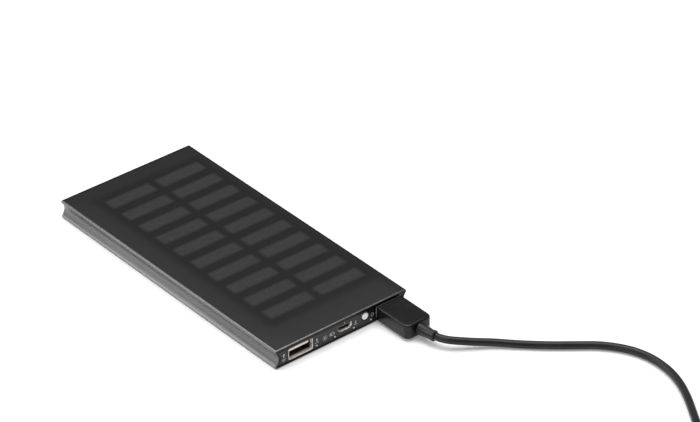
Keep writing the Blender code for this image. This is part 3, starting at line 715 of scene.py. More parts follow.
def make_case():
    left, right, front, rear, _, high = extent("body_shell")
    window_low = extent("top_window")[4] - THIN_GAP
    panel = extent("solar_board")
    panel_left, panel_right, panel_front, panel_rear = panel[:4]
    bay_rear = extent("usb_out_left_shell")[3] + THIN_GAP * 2
    bay_half, half = CAVITY_HALF_WIDTH - THIN_GAP, CAVITY_HALF_WIDTH
    rim, gap, top = WINDOW_RIM, FIT_GAP, high + BEYOND
    holes = [
        box(-half, half, front - BEYOND, rear + BEYOND, CASE_FLOOR, CASE_CEILING),
        box(-bay_half, bay_half, front - BEYOND, bay_rear, CASE_FLOOR + 1.0, MOUTH_HIGH - 0.05),
        along_y(mouth_outline(0.0), (front - BEYOND, front + MOUTH_DEPTH)),
        along_y(mouth_outline(0.0), (rear - MOUTH_DEPTH, rear + BEYOND)),
        box(left + rim, right - rim, front + rim, rear - rim, window_low, top),
        box(
            panel_left - gap, panel_right + gap, panel_front - gap, panel_rear + gap,
            panel[4] - THIN_GAP, top,
        ),
    ]
    make_piece("case", [case_rings()], "case", ["body_shell"], holes=holes)


def ease(share):
    """Run smoothly from 0 to 1 as the share does."""
    return share * share * (3 - 2 * share)


def swell(away, half, soft):
    """1 well inside half, 0 well outside, with a smooth shoulder this wide each way."""
    return ease(min(1.0, max(0.0, (half + soft - away) / (2 * soft))))


def cover_height(x, y):
    """The film stands very slightly proud over each cell."""
    soft = CELL_SHOULDER
    in_column = max(swell(abs(x - column), CELL_WIDTH / 2, soft) for column in cell_columns())
    in_row = max(swell(abs(y - row), CELL_DEPTH / 2, soft) for row in CELL_ROW_YS)
    return CELL_RISE * in_column * in_row


def edge_stations(low, high, middles, half):
    """Grid lines from low to high, closer together at both edges of each cell."""
    stations = {round(low, 3), round(high, 3)}
    for middle in middles:
        for edge in (middle - half, middle + half):
            for step in (-0.8, -0.4, 0.0, 0.4, 0.8):
                stations.add(round(edge + step, 3))
    return sorted(stations)


def grid_border(grid):
    """The outer points of a grid, in order round it."""
    left, right = [row[0] for row in grid[-2:0:-1]], [row[-1] for row in grid[1:]]
    return [*grid[0], *right, *grid[-1][-2::-1], *left]


def make_cover():
    left, right, front, rear, low, high = extent("top_window")
    roll = 0.15
    xs = edge_stations(left + roll, right - roll, cell_columns(), CELL_WIDTH / 2)
    ys = edge_stations(front + roll, rear - roll, CELL_ROW_YS, CELL_DEPTH / 2)
    builder = bmesh.new()
    grid = [[builder.verts.new(Vector((x, y, high + cover_height(x, y))) * MM) for x in xs] for y in ys]
    for near, far in zip(grid, grid[1:]):
        for i in range(len(xs) - 1):
            builder.faces.new((near[i], near[i + 1], far[i + 1], far[i]))
    border = grid_border(grid)
    previous = border
    for grow, height in ((roll * 0.7, high - roll * 0.3), (roll, high - roll), (roll, low)):
        ring = []
        for vertex in border:
            x, y = vertex.co.x / MM, vertex.co.y / MM
            x += grow * ((x >= xs[-1] - 0.001) - (x <= xs[0] + 0.001))
            y += grow * ((y >= ys[-1] - 0.001) - (y <= ys[0] + 0.001))
            ring.append(builder.verts.new(Vector((x, y, height)) * MM))
        for i in range(len(ring)):
            j = (i + 1) % len(ring)
            builder.faces.new((previous[i], previous[j], ring[j], ring[i]))
        previous = ring
    builder.faces.new(previous)
    bmesh.ops.recalc_face_normals(builder, faces=builder.faces)
    show("cover", mesh_from(builder, "cover", 50.0), "cover", "charger", ["top_window"])


def make_solar_panel():
    """Ten cells to a column, with two ribbons along them that join each to the next."""
    half_depth = CELL_DEPTH / 2
    first, last = CELL_ROW_YS[0] - half_depth + 0.5, CELL_ROW_YS[-1] + half_depth - 0.5
    for side, column in zip(("left", "right"), cell_columns()):
        node = f"solar_string_{side}"
        low, high = extent(node)[4:]
        cells = []
        for row in CELL_ROW_YS:
            span = (row - half_depth, row + half_depth, low, high - 0.06)
            cells += bars([column], CELL_WIDTH / 2, *span, 0.6, 0.04)
        ribbons = bars((column - 6.0, column + 6.0), 0.6, first, last, high - 0.05, high, 0.2, 0.015)
        make_piece(f"cells_{side}", cells, "cell", [node])
        make_piece(f"cell_ribbons_{side}", ribbons, "solder")


# End plates ----------------------------------------------------------------------------------




def plate_rings(face, back, inward):
    """A plate that fills a mouth. inward is 1 where its face looks along -Y, and -1 for +Y."""
    roll = 0.1
    rings = along_y(mouth_outline(PLATE_GAP + roll), (face,))
    return rings + along_y(mouth_outline(PLATE_GAP), (face + inward * roll, back))


def micro_outline(size, grow, middle):
    """A bar whose lower corners are cut away, as micro sockets and plugs are."""
    left, right = middle[0] - size[0] / 2 - grow, middle[0] + size[0] / 2 + grow
    low, high = middle[1] - size[1] / 2 - grow, middle[1] + size[1] / 2 + grow
    corners = [(left + MICRO_CUT_ACROSS, low), (right - MICRO_CUT_ACROSS, low)]
    corners += [(right, low + MICRO_CUT_UP), (right, high), (left, high), (left, low + MICRO_CUT_UP)]
    return filleted(corners, 0.28)


def filleted(corners, radius):
    """Round each corner of a convex outline with a short curve."""
    points = []
    for before, corner, after in zip([corners[-1], *corners], corners, [*corners[1:], corners[0]]):
        corner = Vector(corner)
        start = corner + (Vector(before) - corner).normalized() * radius
        end = corner + (Vector(after) - corner).normalized() * radius
        for i in range(5):
            t = i / 4
            point = start.lerp(corner, t).lerp(corner.lerp(end, t), t)
            points.append((point.x, point.y))
    return points


def port_outlines(grow):
    """Outlines of the port plate's holes, each grown by this much all round."""
    outlines = []
    for side in ("left", "right"):
        middle, size = end_view(f"usb_out_{side}_shell")
        outlines.append(centred(middle, size, 0.7, grow + PLATE_GAP))
    middle, size = end_view("micro_in_shell")
    outlines.append(micro_outline(size, grow + PLATE_GAP, middle))
    middle = end_view("button_cap")[0]
    outlines.append(circle(middle, BUTTON_RADIUS + BUTTON_CLEARANCE + grow, 40))
    for number in LIGHT_NUMBERS:
        light = (middle_of(f"led_{number}")[0], LIGHT_HEIGHT)
        outlines.append(circle(light, LIGHT_RADIUS + LIGHT_CLEARANCE + grow, 20))
    return outlines


def make_plates():
    """The plates in both ends; the port plate's holes open out a little at its face."""
    face, back = extent("port_plate")[2:4]
    holes = []
    for wide, straight in zip(port_outlines(PLATE_CHAMFER), port_outlines(0.0)):
        mouth = along_y(wide, (face - BEYOND, face))
        holes.append(mouth + along_y(straight, (face + PLATE_CHAMFER, back + BEYOND)))
    plate = [plate_rings(face, back, 1)]
    make_piece("port_face", plate, "plate", ["port_plate"], holes=holes)
    back, face = extent("rear_plate")[2:4]
    make_piece("rear_face", [plate_rings(face, back, -1)], "plate", ["rear_plate"])


# Printed marks: plain signs, each drawn round its own middle ----------------------------------


def arrow(x, z, size, up):
    """An arrow with a stem, pointing up or down."""
    tip = size / 2 if up else -size / 2
    neck, half, stem_half = tip * 0.1, size * 0.36, size * 0.1
    head = [(x - half, z + neck), (x + half, z + neck), (x, z + tip)]
    low, high = sorted((z - tip, z + neck))
    return [head, rectangle(x - stem_half, x + stem_half, low, high)]


def dash(x, z, width, thickness=0.28):
    return [rectangle(x - width / 2, x + width / 2, z - thickness / 2, z + thickness / 2)]


def battery_sign(x, z, width, height):
    """An outlined cell with a nub, half filled."""
    line = 0.22
    left, right, low, high = x - width / 2, x + width / 2, z - height / 2, z + height / 2
    bars = [rectangle(left, right, low, low + line), rectangle(left, right, high - line, high)]
    bars += [rectangle(left, left + line, low, high), rectangle(right - line, right, low, high)]
    bars.append(rectangle(right, right + 0.3, z - height * 0.2, z + height * 0.2))
    bars.append(rectangle(left + 0.4, x, low + 0.4, high - 0.4))
    return bars


def ring_sign(x, z, radius, line, start, end, steps=14):
    """A stretch of a ring, as a row of short pieces."""
    inner, outer = radius - line / 2, radius + line / 2
    pieces = []
    for i in range(steps):
        a = math.radians(start + (end - start) * i / steps)
        b = math.radians(start + (end - start) * (i + 1) / steps)
        corners = ((inner, a), (outer, a), (outer, b), (inner, b))
        pieces.append([(x + r * math.cos(turn), z + r * math.sin(turn)) for r, turn in corners])
    return pieces


def sun_sign(x, z, size):
    """A small sun: a ring with eight rays."""
    shapes = ring_sign(x, z, size * 0.2, size * 0.1, 0.0, 360.0)
    inner, outer, half = size * 0.33, size * 0.5, size * 0.045
    for i in range(8):
        turn = math.radians(45.0 * i)
        along, across = Vector((math.cos(turn), math.sin(turn))), Vector((-math.sin(turn), math.cos(turn)))
        corners = [along * inner - across * half, along * outer - across * half]
        corners += [along * outer + across * half, along * inner + across * half]
        shapes.append([(x + corner.x, z + corner.y) for corner in corners])
    return shapes


def make_marks():
    """Signs for out, in, charge, sun and power round the sockets."""
    face = extent("port_plate")[2]
    micro_x, _, micro_z = middle_of("micro_in_shell")
    usb_left, usb_right = extent("usb_out_left_shell")[:2]
    button_x, _, button_z = middle_of("button_cap")
    x = usb_left - 2.6
    shapes = arrow(x, 5.1, 2.2, True) + dash(x, 3.2, 2.2) + dash(x, 2.4, 1.5)
    shapes += arrow(usb_right + 2.5, 5.0, 1.8, True) + dash(usb_right + 2.5, 3.7, 1.8)
    shapes += sun_sign(micro_x - 11.0, 4.1, 2.8)
    shapes += battery_sign(micro_x - 7.2, 4.4, 2.6, 1.6)
    shapes += arrow(micro_x, micro_z + 2.2, 1.0, False)
    shapes += arrow(micro_x + 6.2, 4.9, 1.6, False) + dash(micro_x + 6.2, 3.7, 1.8)
    x, z = button_x + 4.0, button_z - 0.9
    shapes += ring_sign(x, z, 0.8, 0.24, -240.0, 60.0) + [rectangle(x - 0.12, x + 0.12, z, z + 1.05)]
    solids = [along_y(shape, (face - 0.03, face - 0.005)) for shape in shapes]
    make_piece("port_marks", solids, "mark")


# Sockets -------------------------------------------------------------------------------------


def spring_leaf(x, start, wall, inward):
    """A leaf spring bowed in from a socket's wall. inward is (direction, reach)."""
    direction, reach = inward
    bow = []
    for i in range(9):
        share = i / 8
        bow.append((start + 6.5 * share, wall + direction * reach * math.sin(math.pi * share)))
    under = [(y, z - direction * 0.14) for y, z in reversed(bow)]
    return along_x(bow + under, (x - 0.9, x + 0.9))


def make_usb_socket(side):
    node = f"usb_out_{side}_shell"
    front, rear = extent(node)[2:4]
    middle, outer = end_view(node)
    plate_face = extent("port_plate")[2]
    lip_front = plate_face - THIN_GAP * 0.5 - FLANGE_THICKNESS
    skin = [
        *along_y(centred(middle, USB_FLANGE, 0.7, -0.06), (lip_front,)),
        *along_y(centred(middle, USB_FLANGE, 0.7), (lip_front + 0.06, plate_face - 0.03)),
        *along_y(centred(middle, outer, 0.5), (plate_face - 0.02, rear)),
        *along_y(centred(middle, USB_INNER, 0.35), (rear,)),
        *along_y(centred(middle, USB_INNER, 0.35), (lip_front + 0.7,)),
        *along_y(centred(middle, USB_INNER, 0.35, 0.3), (lip_front,)),
    ]
    reach = 0.4 if side == "left" else 0.16
    springs = []
    for x in (middle[0] - 3.2, middle[0] + 3.2):
        for direction in (-1, 1):
            wall = middle[1] - direction * USB_INNER[1] / 2
            springs.append(spring_leaf(x, front + 2.5, wall, (direction, reach)))
    make_piece(f"usb_socket_{side}", springs, "nickel", [node], closed=[skin])


def make_usb_tongue(side):
    node = f"usb_out_{side}_tongue"
    left, right, tip, rear, base_low, base_high = extent(node)
    low, high = USB_BLADE
    root = rear - 1.3
    outline = [(rear, base_low), (rear, base_high), (root, base_high), (root, high), (tip + 0.5, high)]
    outline += [(tip + 0.12, high - 0.3), (tip, high - 0.65), (tip, low + 0.3), (tip + 0.2, low)]
    outline += [(root, low), (root, base_low)]
    make_piece(f"usb_tongue_{side}", [along_x(outline, (left, right))], "ivory", [node])
    middles = [(left + right) / 2 + offset for offset in USB_CONTACTS]
    strips = bars(middles, 0.5, tip + 0.9, root, low - 0.06, low + 0.02, 0.2, 0.02)
    make_piece(f"usb_contacts_{side}", strips, "gold")


def make_micro_socket():
    rear = extent("micro_in_shell")[3]
    middle, size = end_view("micro_in_shell")
    plate_face = extent("port_plate")[2]
    lip_front = plate_face - 0.16
    skin = [
        *along_y(micro_outline(size, MICRO_FLANGE - 0.05, middle), (lip_front,)),
        *along_y(micro_outline(size, MICRO_FLANGE, middle), (lip_front + 0.05, plate_face - 0.03)),
        *along_y(micro_outline(size, 0.0, middle), (plate_face - 0.02, rear)),
        *along_y(micro_outline(size, -MICRO_WALL, middle), (rear, lip_front + 0.6)),
        *along_y(micro_outline(size, 0.06, middle), (lip_front,)),
    ]
    make_piece("micro_socket", [], "nickel", ["micro_in_shell"], closed=[skin])
    left, right, tip, rear, base_low, base_high = extent("micro_in_tongue")
    low, high = middle[1], middle[1] + 0.6
    root = rear - 0.9
    outline = [(rear, base_low), (rear, base_high), (root, base_high), (root, high), (tip + 0.15, high)]
    outline += [(tip, high - 0.15), (tip, low + 0.1), (tip + 0.1, low), (root, low), (root, base_low)]
    tongue = [along_x(outline, (left, right))]
    make_piece("micro_tongue", tongue, "black", ["micro_in_tongue"])
    middles = [middle[0] + 0.65 * (i - 2) for i in range(5)]
    strips = bars(middles, 0.18, tip + 0.3, root, low - 0.04, low + 0.02, 0.08, 0.01)
    make_piece("micro_contacts", strips, "gold")


# Button and lights ---------------------------------------------------------------------------


def make_button():
    front, rear = extent("button_cap")[2:4]
    middle, size = end_view("button_cap")
    flange, neck = size[0] / 2, rear - 0.7
    profile = [(front + 0.1, 0.05), (front + 0.09, 0.5), (front + 0.05, 0.85), (front, 1.15)]
    profile += [(front + 0.01, 1.35), (front + 0.07, 1.52), (front + 0.2, 1.65)]
    profile += [(front + 0.38, BUTTON_RADIUS), (neck, BUTTON_RADIUS)]
    profile += [(neck, flange), (rear, flange), (rear, 0.05)]
    cap = [turned_y(middle, profile)]
    make_piece("button", cap, "white", ["button_cap"], body="power_button")
    front, rear = extent("switch_plunger")[2:4]
    profile = [(front, 0.55), (front + 0.1, 0.72), (front + 0.25, 0.8), (rear - 0.1, 0.8), (rear, 0.7)]
    pin = [turned_y(middle, profile)]
    make_piece("plunger", pin, "black", ["switch_plunger"], body="power_button")
    make_switch(middle)


def make_switch(middle):
    """The switch's body and its pressed metal cover, with a hole for the plunger."""
    left, right, front, rear, low, high = extent("switch_body")
    outline = rounded(left, right, low, high, 0.3)
    body = [along_y(outline, (front + 0.3, rear))]
    hole = [turned_y(middle, [(front - BEYOND, 1.1), (front + 2.1, 1.1)])]
    make_piece("switch", body, "black", ["switch_body"], holes=hole)
    cover = [along_y(outline, (front, front + 0.28))]
    hole = [turned_y(middle, [(front - BEYOND, 1.15), (front + BEYOND, 1.15)])]
    make_piece("switch_cover", cover, "solder", holes=hole)


def make_lights():
    left, right, front, rear, low, high = extent("light_guide")
    bar_front = rear - 1.5
    profile = [(front - 0.12, 0.05), (front - 0.1, 0.2), (front - 0.03, 0.36), (front + 0.08, 0.46)]
    profile += [(front + 0.25, LIGHT_RADIUS), (bar_front + 0.3, LIGHT_RADIUS), (bar_front + 0.3, 0.05)]
    guide = [soft_box(left, right, bar_front, rear, low, high, 0.3, 0.12)]
    for number in LIGHT_NUMBERS:
        guide.append(turned_y((middle_of(f"led_{number}")[0], LIGHT_HEIGHT), profile, 24))
    make_piece("light_bar", guide, "lens", ["light_guide"])
    for number in LIGHT_NUMBERS:
        node = f"led_{number}"
        left, right, front, rear, low, high = extent(node)
        solids = [soft_box(left + 0.25, right - 0.25, front, rear, low, high, 0.1, 0.05)]
        for start in (left, right - 0.22):
            solids.append(soft_box(start, start + 0.22, front + 0.2, rear, low, high - 0.2, 0.05, 0.03))
        make_piece(f"light_{number}", solids, "white", [node])


# Inside --------------------------------------------------------------------------------------


def carry_over():
    """CAD nodes whose shape is already right only take a better finish."""
    kept = {
        "solar_board": "panel",
        "main_board": "board",
        "battery_board": "board",
        "battery_tray": "black",
        "board_spacer_left": "solder",
        "board_spacer_right": "solder",
    }
    for node, finish in kept.items():
        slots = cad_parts[node].data.materials
        slots.clear()
        slots.append(finishes[finish])


def chip_leg(y, inner, outer, low):
    """A gull-wing leg from inside a chip's body down to the board."""
    bend = (inner + outer) / 2
    heel = bend * 0.7 + inner * 0.3
    outline = [(inner, low + 0.6), (bend, low + 0.6), (bend, low + 0.15), (outer, low + 0.15)]
    outline += [(outer, low), (heel, low), (heel, low + 0.45), (inner, low + 0.45)]
    return along_y(outline, (y - 0.18, y + 0.18))


def make_chips():
    legs = 4
    for name in ("converter_chip", "charger_chip"):
        left, right, front, rear, low, high = extent(name)
        body = [soft_box(left + 0.6, right - 0.6, front, rear, low + 0.1, high, 0.1, 0.1)]
        dent = [turned_z((left + 1.2, rear - 0.7), [(high - 0.08, 0.25), (high + BEYOND, 0.25)], 16)]
        make_piece(f"{name}_body", body, "black", [name], holes=dent)
        pins = []
        for i in range(legs):
            y = front + (rear - front) * (i + 0.5) / legs
            pins += [chip_leg(y, left + 0.7, left, low), chip_leg(y, right - 0.7, right, low)]
        make_piece(f"{name}_pins", pins, "solder")


def hoop(middle, radius, height, wire):
    """A round wire bent into a closed hoop."""
    section = circle((radius, height), wire, 6)
    rings = []
    for k in range(32):
        across, along = math.cos(2 * math.pi * k / 32), math.sin(2 * math.pi * k / 32)
        rings.append([(middle[0] + reach * across, middle[1] + reach * along, z) for reach, z in section])
    return rings


def make_inductor():
    left, right, _, _, low, high = extent("inductor")
    middle, radius = middle_of("inductor")[:2], (right - left) / 2
    foot = [(low, radius * 0.96), (low + 0.3, radius), (low + 0.55, radius), (low + 0.6, radius * 0.7)]
    head = [(high - 0.6, radius * 0.7), (high - 0.55, radius), (high - 0.2, radius), (high, radius * 0.86)]
    core = [turned_z(middle, foot), turned_z(middle, head)]
    make_piece("inductor_core", core, "black", ["inductor"])
    heights = [low + 0.68 + i * (high - low - 1.36) / 3 for i in range(4)]
    turns = [hoop(middle, radius * 0.78, height, 0.16) for height in heights]
    make_piece("inductor_winding", [], "gold", closed=turns)


def make_capacitor():
    left, right, _, _, low, high = extent("output_capacitor")
    radius = (right - left) / 2
    profile = [(low, radius * 0.94), (low + 0.25, radius), (low + 0.5, radius), (low + 0.6, radius * 0.92)]
    profile += [(low + 0.75, radius), (high - 0.2, radius), (high - 0.05, radius * 0.93)]
    profile.append((high, radius * 0.85))
    can = [turned_z(middle_of("output_capacitor")[:2], profile)]
    make_piece("capacitor_can", can, "solder", ["output_capacitor"])


def make_screws():
    for side in ("left", "right"):
        node = f"board_screw_{side}"
        low, high = extent(node)[4:]
        x, y = middle_of(node)[:2]
        head = high - 1.1
        profile = [(low, 0.5), (low + 0.25, 0.85)]
        height = low + 0.25
        while height < head - 0.45:
            for rise, radius in ((0.1, 0.9), (0.2, 0.72), (0.3, 0.72), (0.4, 0.9)):
                profile.append((height + rise, radius))
            height += 0.4
        profile += [(head, 0.9), (head, 1.9), (head + 0.35, 1.9), (head + 0.75, 1.65), (high, 1.1)]
        slots = [
            box(x - 0.2, x + 0.2, y - 0.9, y + 0.9, head + 0.5, high + BEYOND),
            box(x - 0.9, x + 0.9, y - 0.2, y + 0.2, head + 0.5, high + BEYOND),
        ]
        solids = [turned_z((x, y), profile, 32)]
        make_piece(f"screw_{side}", solids, "solder", [node], holes=slots)


def make_batteries():
    """Foil pouches: a rounded body with a folded seam down each side and a taped front end."""
    for side in ("left", "right"):
        node = f"battery_{side}"
        left, right, front, rear, low, high = extent(node)
        pouch = [soft_box(left + 0.7, right - 0.7, front + 3.0, rear, low, high, 2.0, 1.2)]
        for start in (left, right - 0.6):
            span = (start, start + 0.6, front + 3.4, rear - 1.5)
            pouch.append(soft_box(*span, low + 0.3, high - 0.5, 0.25, 0.2))
        make_piece(f"pouch_{side}", pouch, "foil", [node])
        span = (left + 1.2, right - 1.2, front + 0.6, front + 4.6)
        tape = [soft_box(*span, low + 0.9, high - 0.9, 0.5, 0.25)]
        make_piece(f"pouch_tape_{side}", tape, "tape")
        middle, height = (left + right) / 2, (low + high) / 2
        span = (front, front + 2.2, height - 0.1, height + 0.1)
        tabs = bars((middle - 5.0, middle + 5.0), 2.0, *span, 0.3, 0.05)
        make_piece(f"pouch_tabs_{side}", tabs, "solder")


def make_wires():
    """Insulated wires along the lines of their CAD tubes."""
    for colour in ("red", "black"):
        node = f"battery_wire_{colour}"
        left, right, front, rear, low, high = extent(node)
        x, radius = (left + right) / 2, (right - left) / 2
        ends, top = low + radius, high - radius
        route = [(x, rear, ends), (x, rear - 2.5, top), (x, front + 2.5, top), (x, front, ends)]
        line = smooth_curve(route, 0.5)
        rings = swept(line, [radius * 0.95] * len(line), 16)
        make_piece(f"battery_lead_{colour}", [rings], colour, [node])
        node = f"solar_wire_{colour}"
        left, right, front, rear, low, high = extent(node)
        x, start, end = (left + right) / 2, front + radius, rear - radius
        route = [(x, start, high), (x, start, high - 1.0), (x, end, low + 1.2), (x, end, low)]
        line = smooth_curve(route, 0.3)
        rings = swept_down(line, radius * 0.95)
        make_piece(f"solar_lead_{colour}", [rings], colour, [node])


def swept_down(line, radius):
    """Rings along an upright line, each level."""
    return [[(x, y, point.z) for x, y in circle((point.x, point.y), radius, 16)] for point in line]


# Lead ----------------------------------------------------------------------------------------


def grip_outline(left, right, front, rear, corner, inset):
    """Plan of a moulded grip: small corners at the plug's end, round ones at the cord's end."""
    left, right, front, rear = left + inset, right - inset, front - inset, rear + inset
    small = 0.25
    points = quarter(left + small, front - small, small, 90.0, 6)
    points += quarter(left + corner, rear + corner, corner, 180.0, 6)
    points += quarter(right - corner, rear + corner, corner, 270.0, 6)
    return points + quarter(right - small, front - small, small, 0.0, 6)


def grip_rings(left, right, front, rear, low, high, corner, soft):
    """A grip whose long edges are rolled, with a mould line round its middle."""
    lower, upper = rolled(low, high, soft, 4)
    middle = (low + high) / 2
    mould_line = [(0.0, middle - 0.08), (0.07, middle), (0.0, middle + 0.08)]
    rings = []
    for inset, height in lower + mould_line + upper:
        rings += along_z(grip_outline(left, right, front, rear, corner, inset), (height,))
    return rings


def boot_profile(length, start_radius, end_radius, ribs):
    """(distance, radius) pairs of a strain relief: a taper with grooves cut round it."""
    pairs = [(0.0, start_radius)]
    pitch = length / (ribs + 1)
    for i in range(ribs):
        middle = pitch * (i + 0.75)
        for offset, depth in ((-0.42, 0.0), (-0.3, 0.3), (0.3, 0.3), (0.42, 0.0)):
            distance = middle + offset
            taper = start_radius + (end_radius - start_radius) * distance / length
            pairs.append((distance, taper - depth))
    collar = end_radius + 0.3
    pairs += [(length - 1.6, end_radius + 0.05), (length - 1.4, collar)]
    return pairs + [(length - 0.25, collar), (length, end_radius)]


def boot_rings(route, profile):
    """Carry a strain relief's profile along its bent line."""
    fine = smooth_curve(route, 0.05)
    step = sum((b - a).length for a, b in zip(fine, fine[1:])) / (len(fine) - 1)
    points, radii = [], []
    for distance, radius in profile:
        points.append(fine[min(len(fine) - 1, round(distance / step))])
        radii.append(radius)
    return swept(points, radii, 28)


def make_plug_grip():
    left, right, rear, front, low, high = extent("lead_plug_grip")
    rings = grip_rings(left, right, front, rear, low, high, 2.5, 0.8)
    span = (left + 2.2, right - 2.2, rear + 5.5, front - 3.0)
    panels = [
        soft_box(*span, high - 0.22, high + BEYOND, 1.2, 0.1),
        soft_box(*span, low - BEYOND, low + 0.22, 1.2, 0.1),
    ]
    stands_for = ["lead_plug_grip"]
    return make_piece("plug_grip", [rings], "grip", stands_for, "lead", holes=panels)


def make_plug_shell():
    rear, tip, low, high = extent("lead_plug_shell")[2:]
    (_, z), size = end_view("lead_plug_shell")
    x, wall = middle_of("lead_plug_grip")[0], 0.3
    skin = [
        *along_y(centred((x, z), size, 0.6), (rear, tip - 0.35)),
        *along_y(centred((x, z), size, 0.6, -0.12), (tip,)),
        *along_y(centred((x, z), (size[0] - 2 * wall, size[1] - 2 * wall), 0.4), (tip, rear)),
    ]
    holes = []
    for middle in (x - 2.6, x + 2.6):
        holes.append(box(middle - 1.2, middle + 1.2, tip - 7.6, tip - 5.2, low - BEYOND, high + BEYOND))
    stands_for = ["lead_plug_shell"]
    return make_piece("plug_shell", [], "plug_nickel", stands_for, "lead", [skin], holes)


def make_plug():
    pieces = [make_plug_grip(), make_plug_shell()]
    node = "lead_plug_insert"
    blade = [soft_box(*extent(node), 0.3, 0.15)]
    pieces.append(make_piece("plug_insert", blade, "white", [node], "lead"))
    tip, high = extent(node)[3], extent(node)[5]
    middles = [middle_of("lead_plug_grip")[0] + offset for offset in USB_CONTACTS]
    strips = bars(middles, 0.5, tip - 8.0, tip - 0.8, high - 0.02, high + 0.05, 0.15, 0.02)
    pieces.append(make_piece("plug_contacts", strips, "gold", body="lead"))
    length = sum(math.dist(a, b) for a, b in zip(BOOT_ROUTE, BOOT_ROUTE[1:]))
    rings = boot_rings(BOOT_ROUTE, boot_profile(length, 2.9, 2.2, 0))
    pieces.append(make_piece("plug_boot", [rings], "cord", ["lead_boot"], "lead"))
    return pieces


def around_coil(angle, radius, height):
    turn = math.radians(angle)
    return (COIL_CENTRE[0] + radius * math.cos(turn), COIL_CENTRE[1] + radius * math.sin(turn), height)


def coil_points():
    """The coil's turns: three inwards on the floor, a climb, and three outwards on top of them."""
    points = []
    steps = 30
    sweep = 360.0 * COIL_TURNS
    shrink = COIL_PITCH * COIL_TURNS
    for i in range(steps * COIL_TURNS + 1):
        share = i / (steps * COIL_TURNS)
        angle, radius = COIL_ENTRY_ANGLE + sweep * share, COIL_RADIUS - shrink * share
        points.append(around_coil(angle, radius, COIL_LOWER))
    for i in range(1, 8):
        share = i / 8
        height = COIL_LOWER + (COIL_UPPER - COIL_LOWER) * ease(share)
        points.append(around_coil(COIL_ENTRY_ANGLE + COIL_CLIMB * share, COIL_INNER, height))
    start = COIL_ENTRY_ANGLE + COIL_CLIMB
    for i in range(steps * COIL_TURNS):
        share = i / (steps * COIL_TURNS)
        points.append(around_coil(start + sweep * share, COIL_INNER + shrink * share, COIL_UPPER))
    for i in range(25):
        share = i / 24
        height = COIL_UPPER + (MICRO_AXIS - COIL_UPPER) * ease(share)
        points.append(around_coil(start + TAIL_SWEEP * share, COIL_RADIUS + TAIL_OUT * ease(share), height))
    return points


def make_cord(pieces):
    turns = coil_points()
    visible = smooth_curve([*LEAD_ROUTE, turns[0]], 2.0)
    line = [Vector(point) for point in [*visible[:-1], *turns]]
    curve = bpy.data.curves.new("lead", "CURVE")
    curve.dimensions = "3D"
    curve.bevel_depth = CORD_RADIUS * MM
    curve.bevel_resolution = 6
    curve.use_fill_caps = True
    spline = curve.splines.new("POLY")
    spline.points.add(len(line) - 1)
    for spot, point in zip(spline.points, line):
        spot.co = (*(point * MM), 1.0)
    spline.use_smooth = True
    cord = show("lead", curve, "cord", "lead", ["lead_cord", "lead_coil", "lead_tail"])


def micro_frame():
    """Where the micro plug lies: its +Y runs on from the end of the cord."""
    angle = COIL_ENTRY_ANGLE + COIL_CLIMB + TAIL_SWEEP
    start = Vector(around_coil(angle, COIL_RADIUS + TAIL_OUT, MICRO_AXIS))
    return Matrix.Translation(start) @ Matrix.Rotation(math.radians(angle), 4, "Z")


def moved(rings, matrix):
    return [[matrix @ Vector(point) for point in ring] for ring in rings]


def make_micro_grip(place):
    start, end = MICRO_BOOT_END, MICRO_GRIP_END
    rings = grip_rings(-5.3, 5.3, end, start + FIT_GAP, -3.4, 3.4, 2.2, 0.9)
    cutters = [soft_box(-3.4, 3.4, start + 5.0, end - 2.5, 3.2, 4.5, 1.0, 0.1)]
    for left, right in ((-6.0, -5.05), (5.05, 6.0)):
        cutters += [box(left, right, y - 0.3, y + 0.3, -1.5, 1.5) for y in (13.0, 14.6, 16.2, 17.8)]
    solids, holes = [moved(rings, place)], [moved(cutter, place) for cutter in cutters]
    stands_for = ["micro_plug_grip"]
    return make_piece("micro_grip", solids, "grip", stands_for, "lead", holes=holes)


def make_micro_plug():
    place = micro_frame()
    profile = boot_profile(MICRO_BOOT_END - FIT_GAP, 2.2, 2.7, 4)
    rings = turned_y((0.0, 0.0), [(distance + FIT_GAP, radius) for distance, radius in profile], 28)
    boot = [moved(rings, place)]
    pieces = [make_piece("micro_boot", boot, "cord", ["micro_plug_boot"], "lead")]
    pieces.append(make_micro_grip(place))
    rear, centre = MICRO_GRIP_END + FIT_GAP, (0.0, 0.0)
    skin = [
        *along_y(micro_outline(MICRO_PLUG_SIZE, 0.0, centre), (rear, MICRO_TIP - 0.3)),
        *along_y(micro_outline(MICRO_PLUG_SIZE, -0.1, centre), (MICRO_TIP,)),
        *along_y(micro_outline(MICRO_PLUG_SIZE, -MICRO_WALL, centre), (MICRO_TIP, rear)),
    ]
    node, shell = "micro_plug_shell", [moved(skin, place)]
    pieces.append(make_piece("micro_shell", [], "plug_nickel", [node], "lead", shell))
    blade = [moved(soft_box(-2.3, 2.3, rear, MICRO_TIP - 0.6, -0.55, 0.1, 0.2, 0.1), place)]
    pieces.append(make_piece("micro_insert", blade, "black", body="lead"))
    return pieces


def across_coil(across, section):
    """A ring in the tie's section, which stands across the coil, moved this far along it."""
    turn = math.radians(TIE_ANGLE + 90.0)
    sideways = Vector((math.cos(turn), math.sin(turn), 0.0))
    return [Vector(around_coil(TIE_ANGLE, r, z)) + sideways * across for r, z in section]


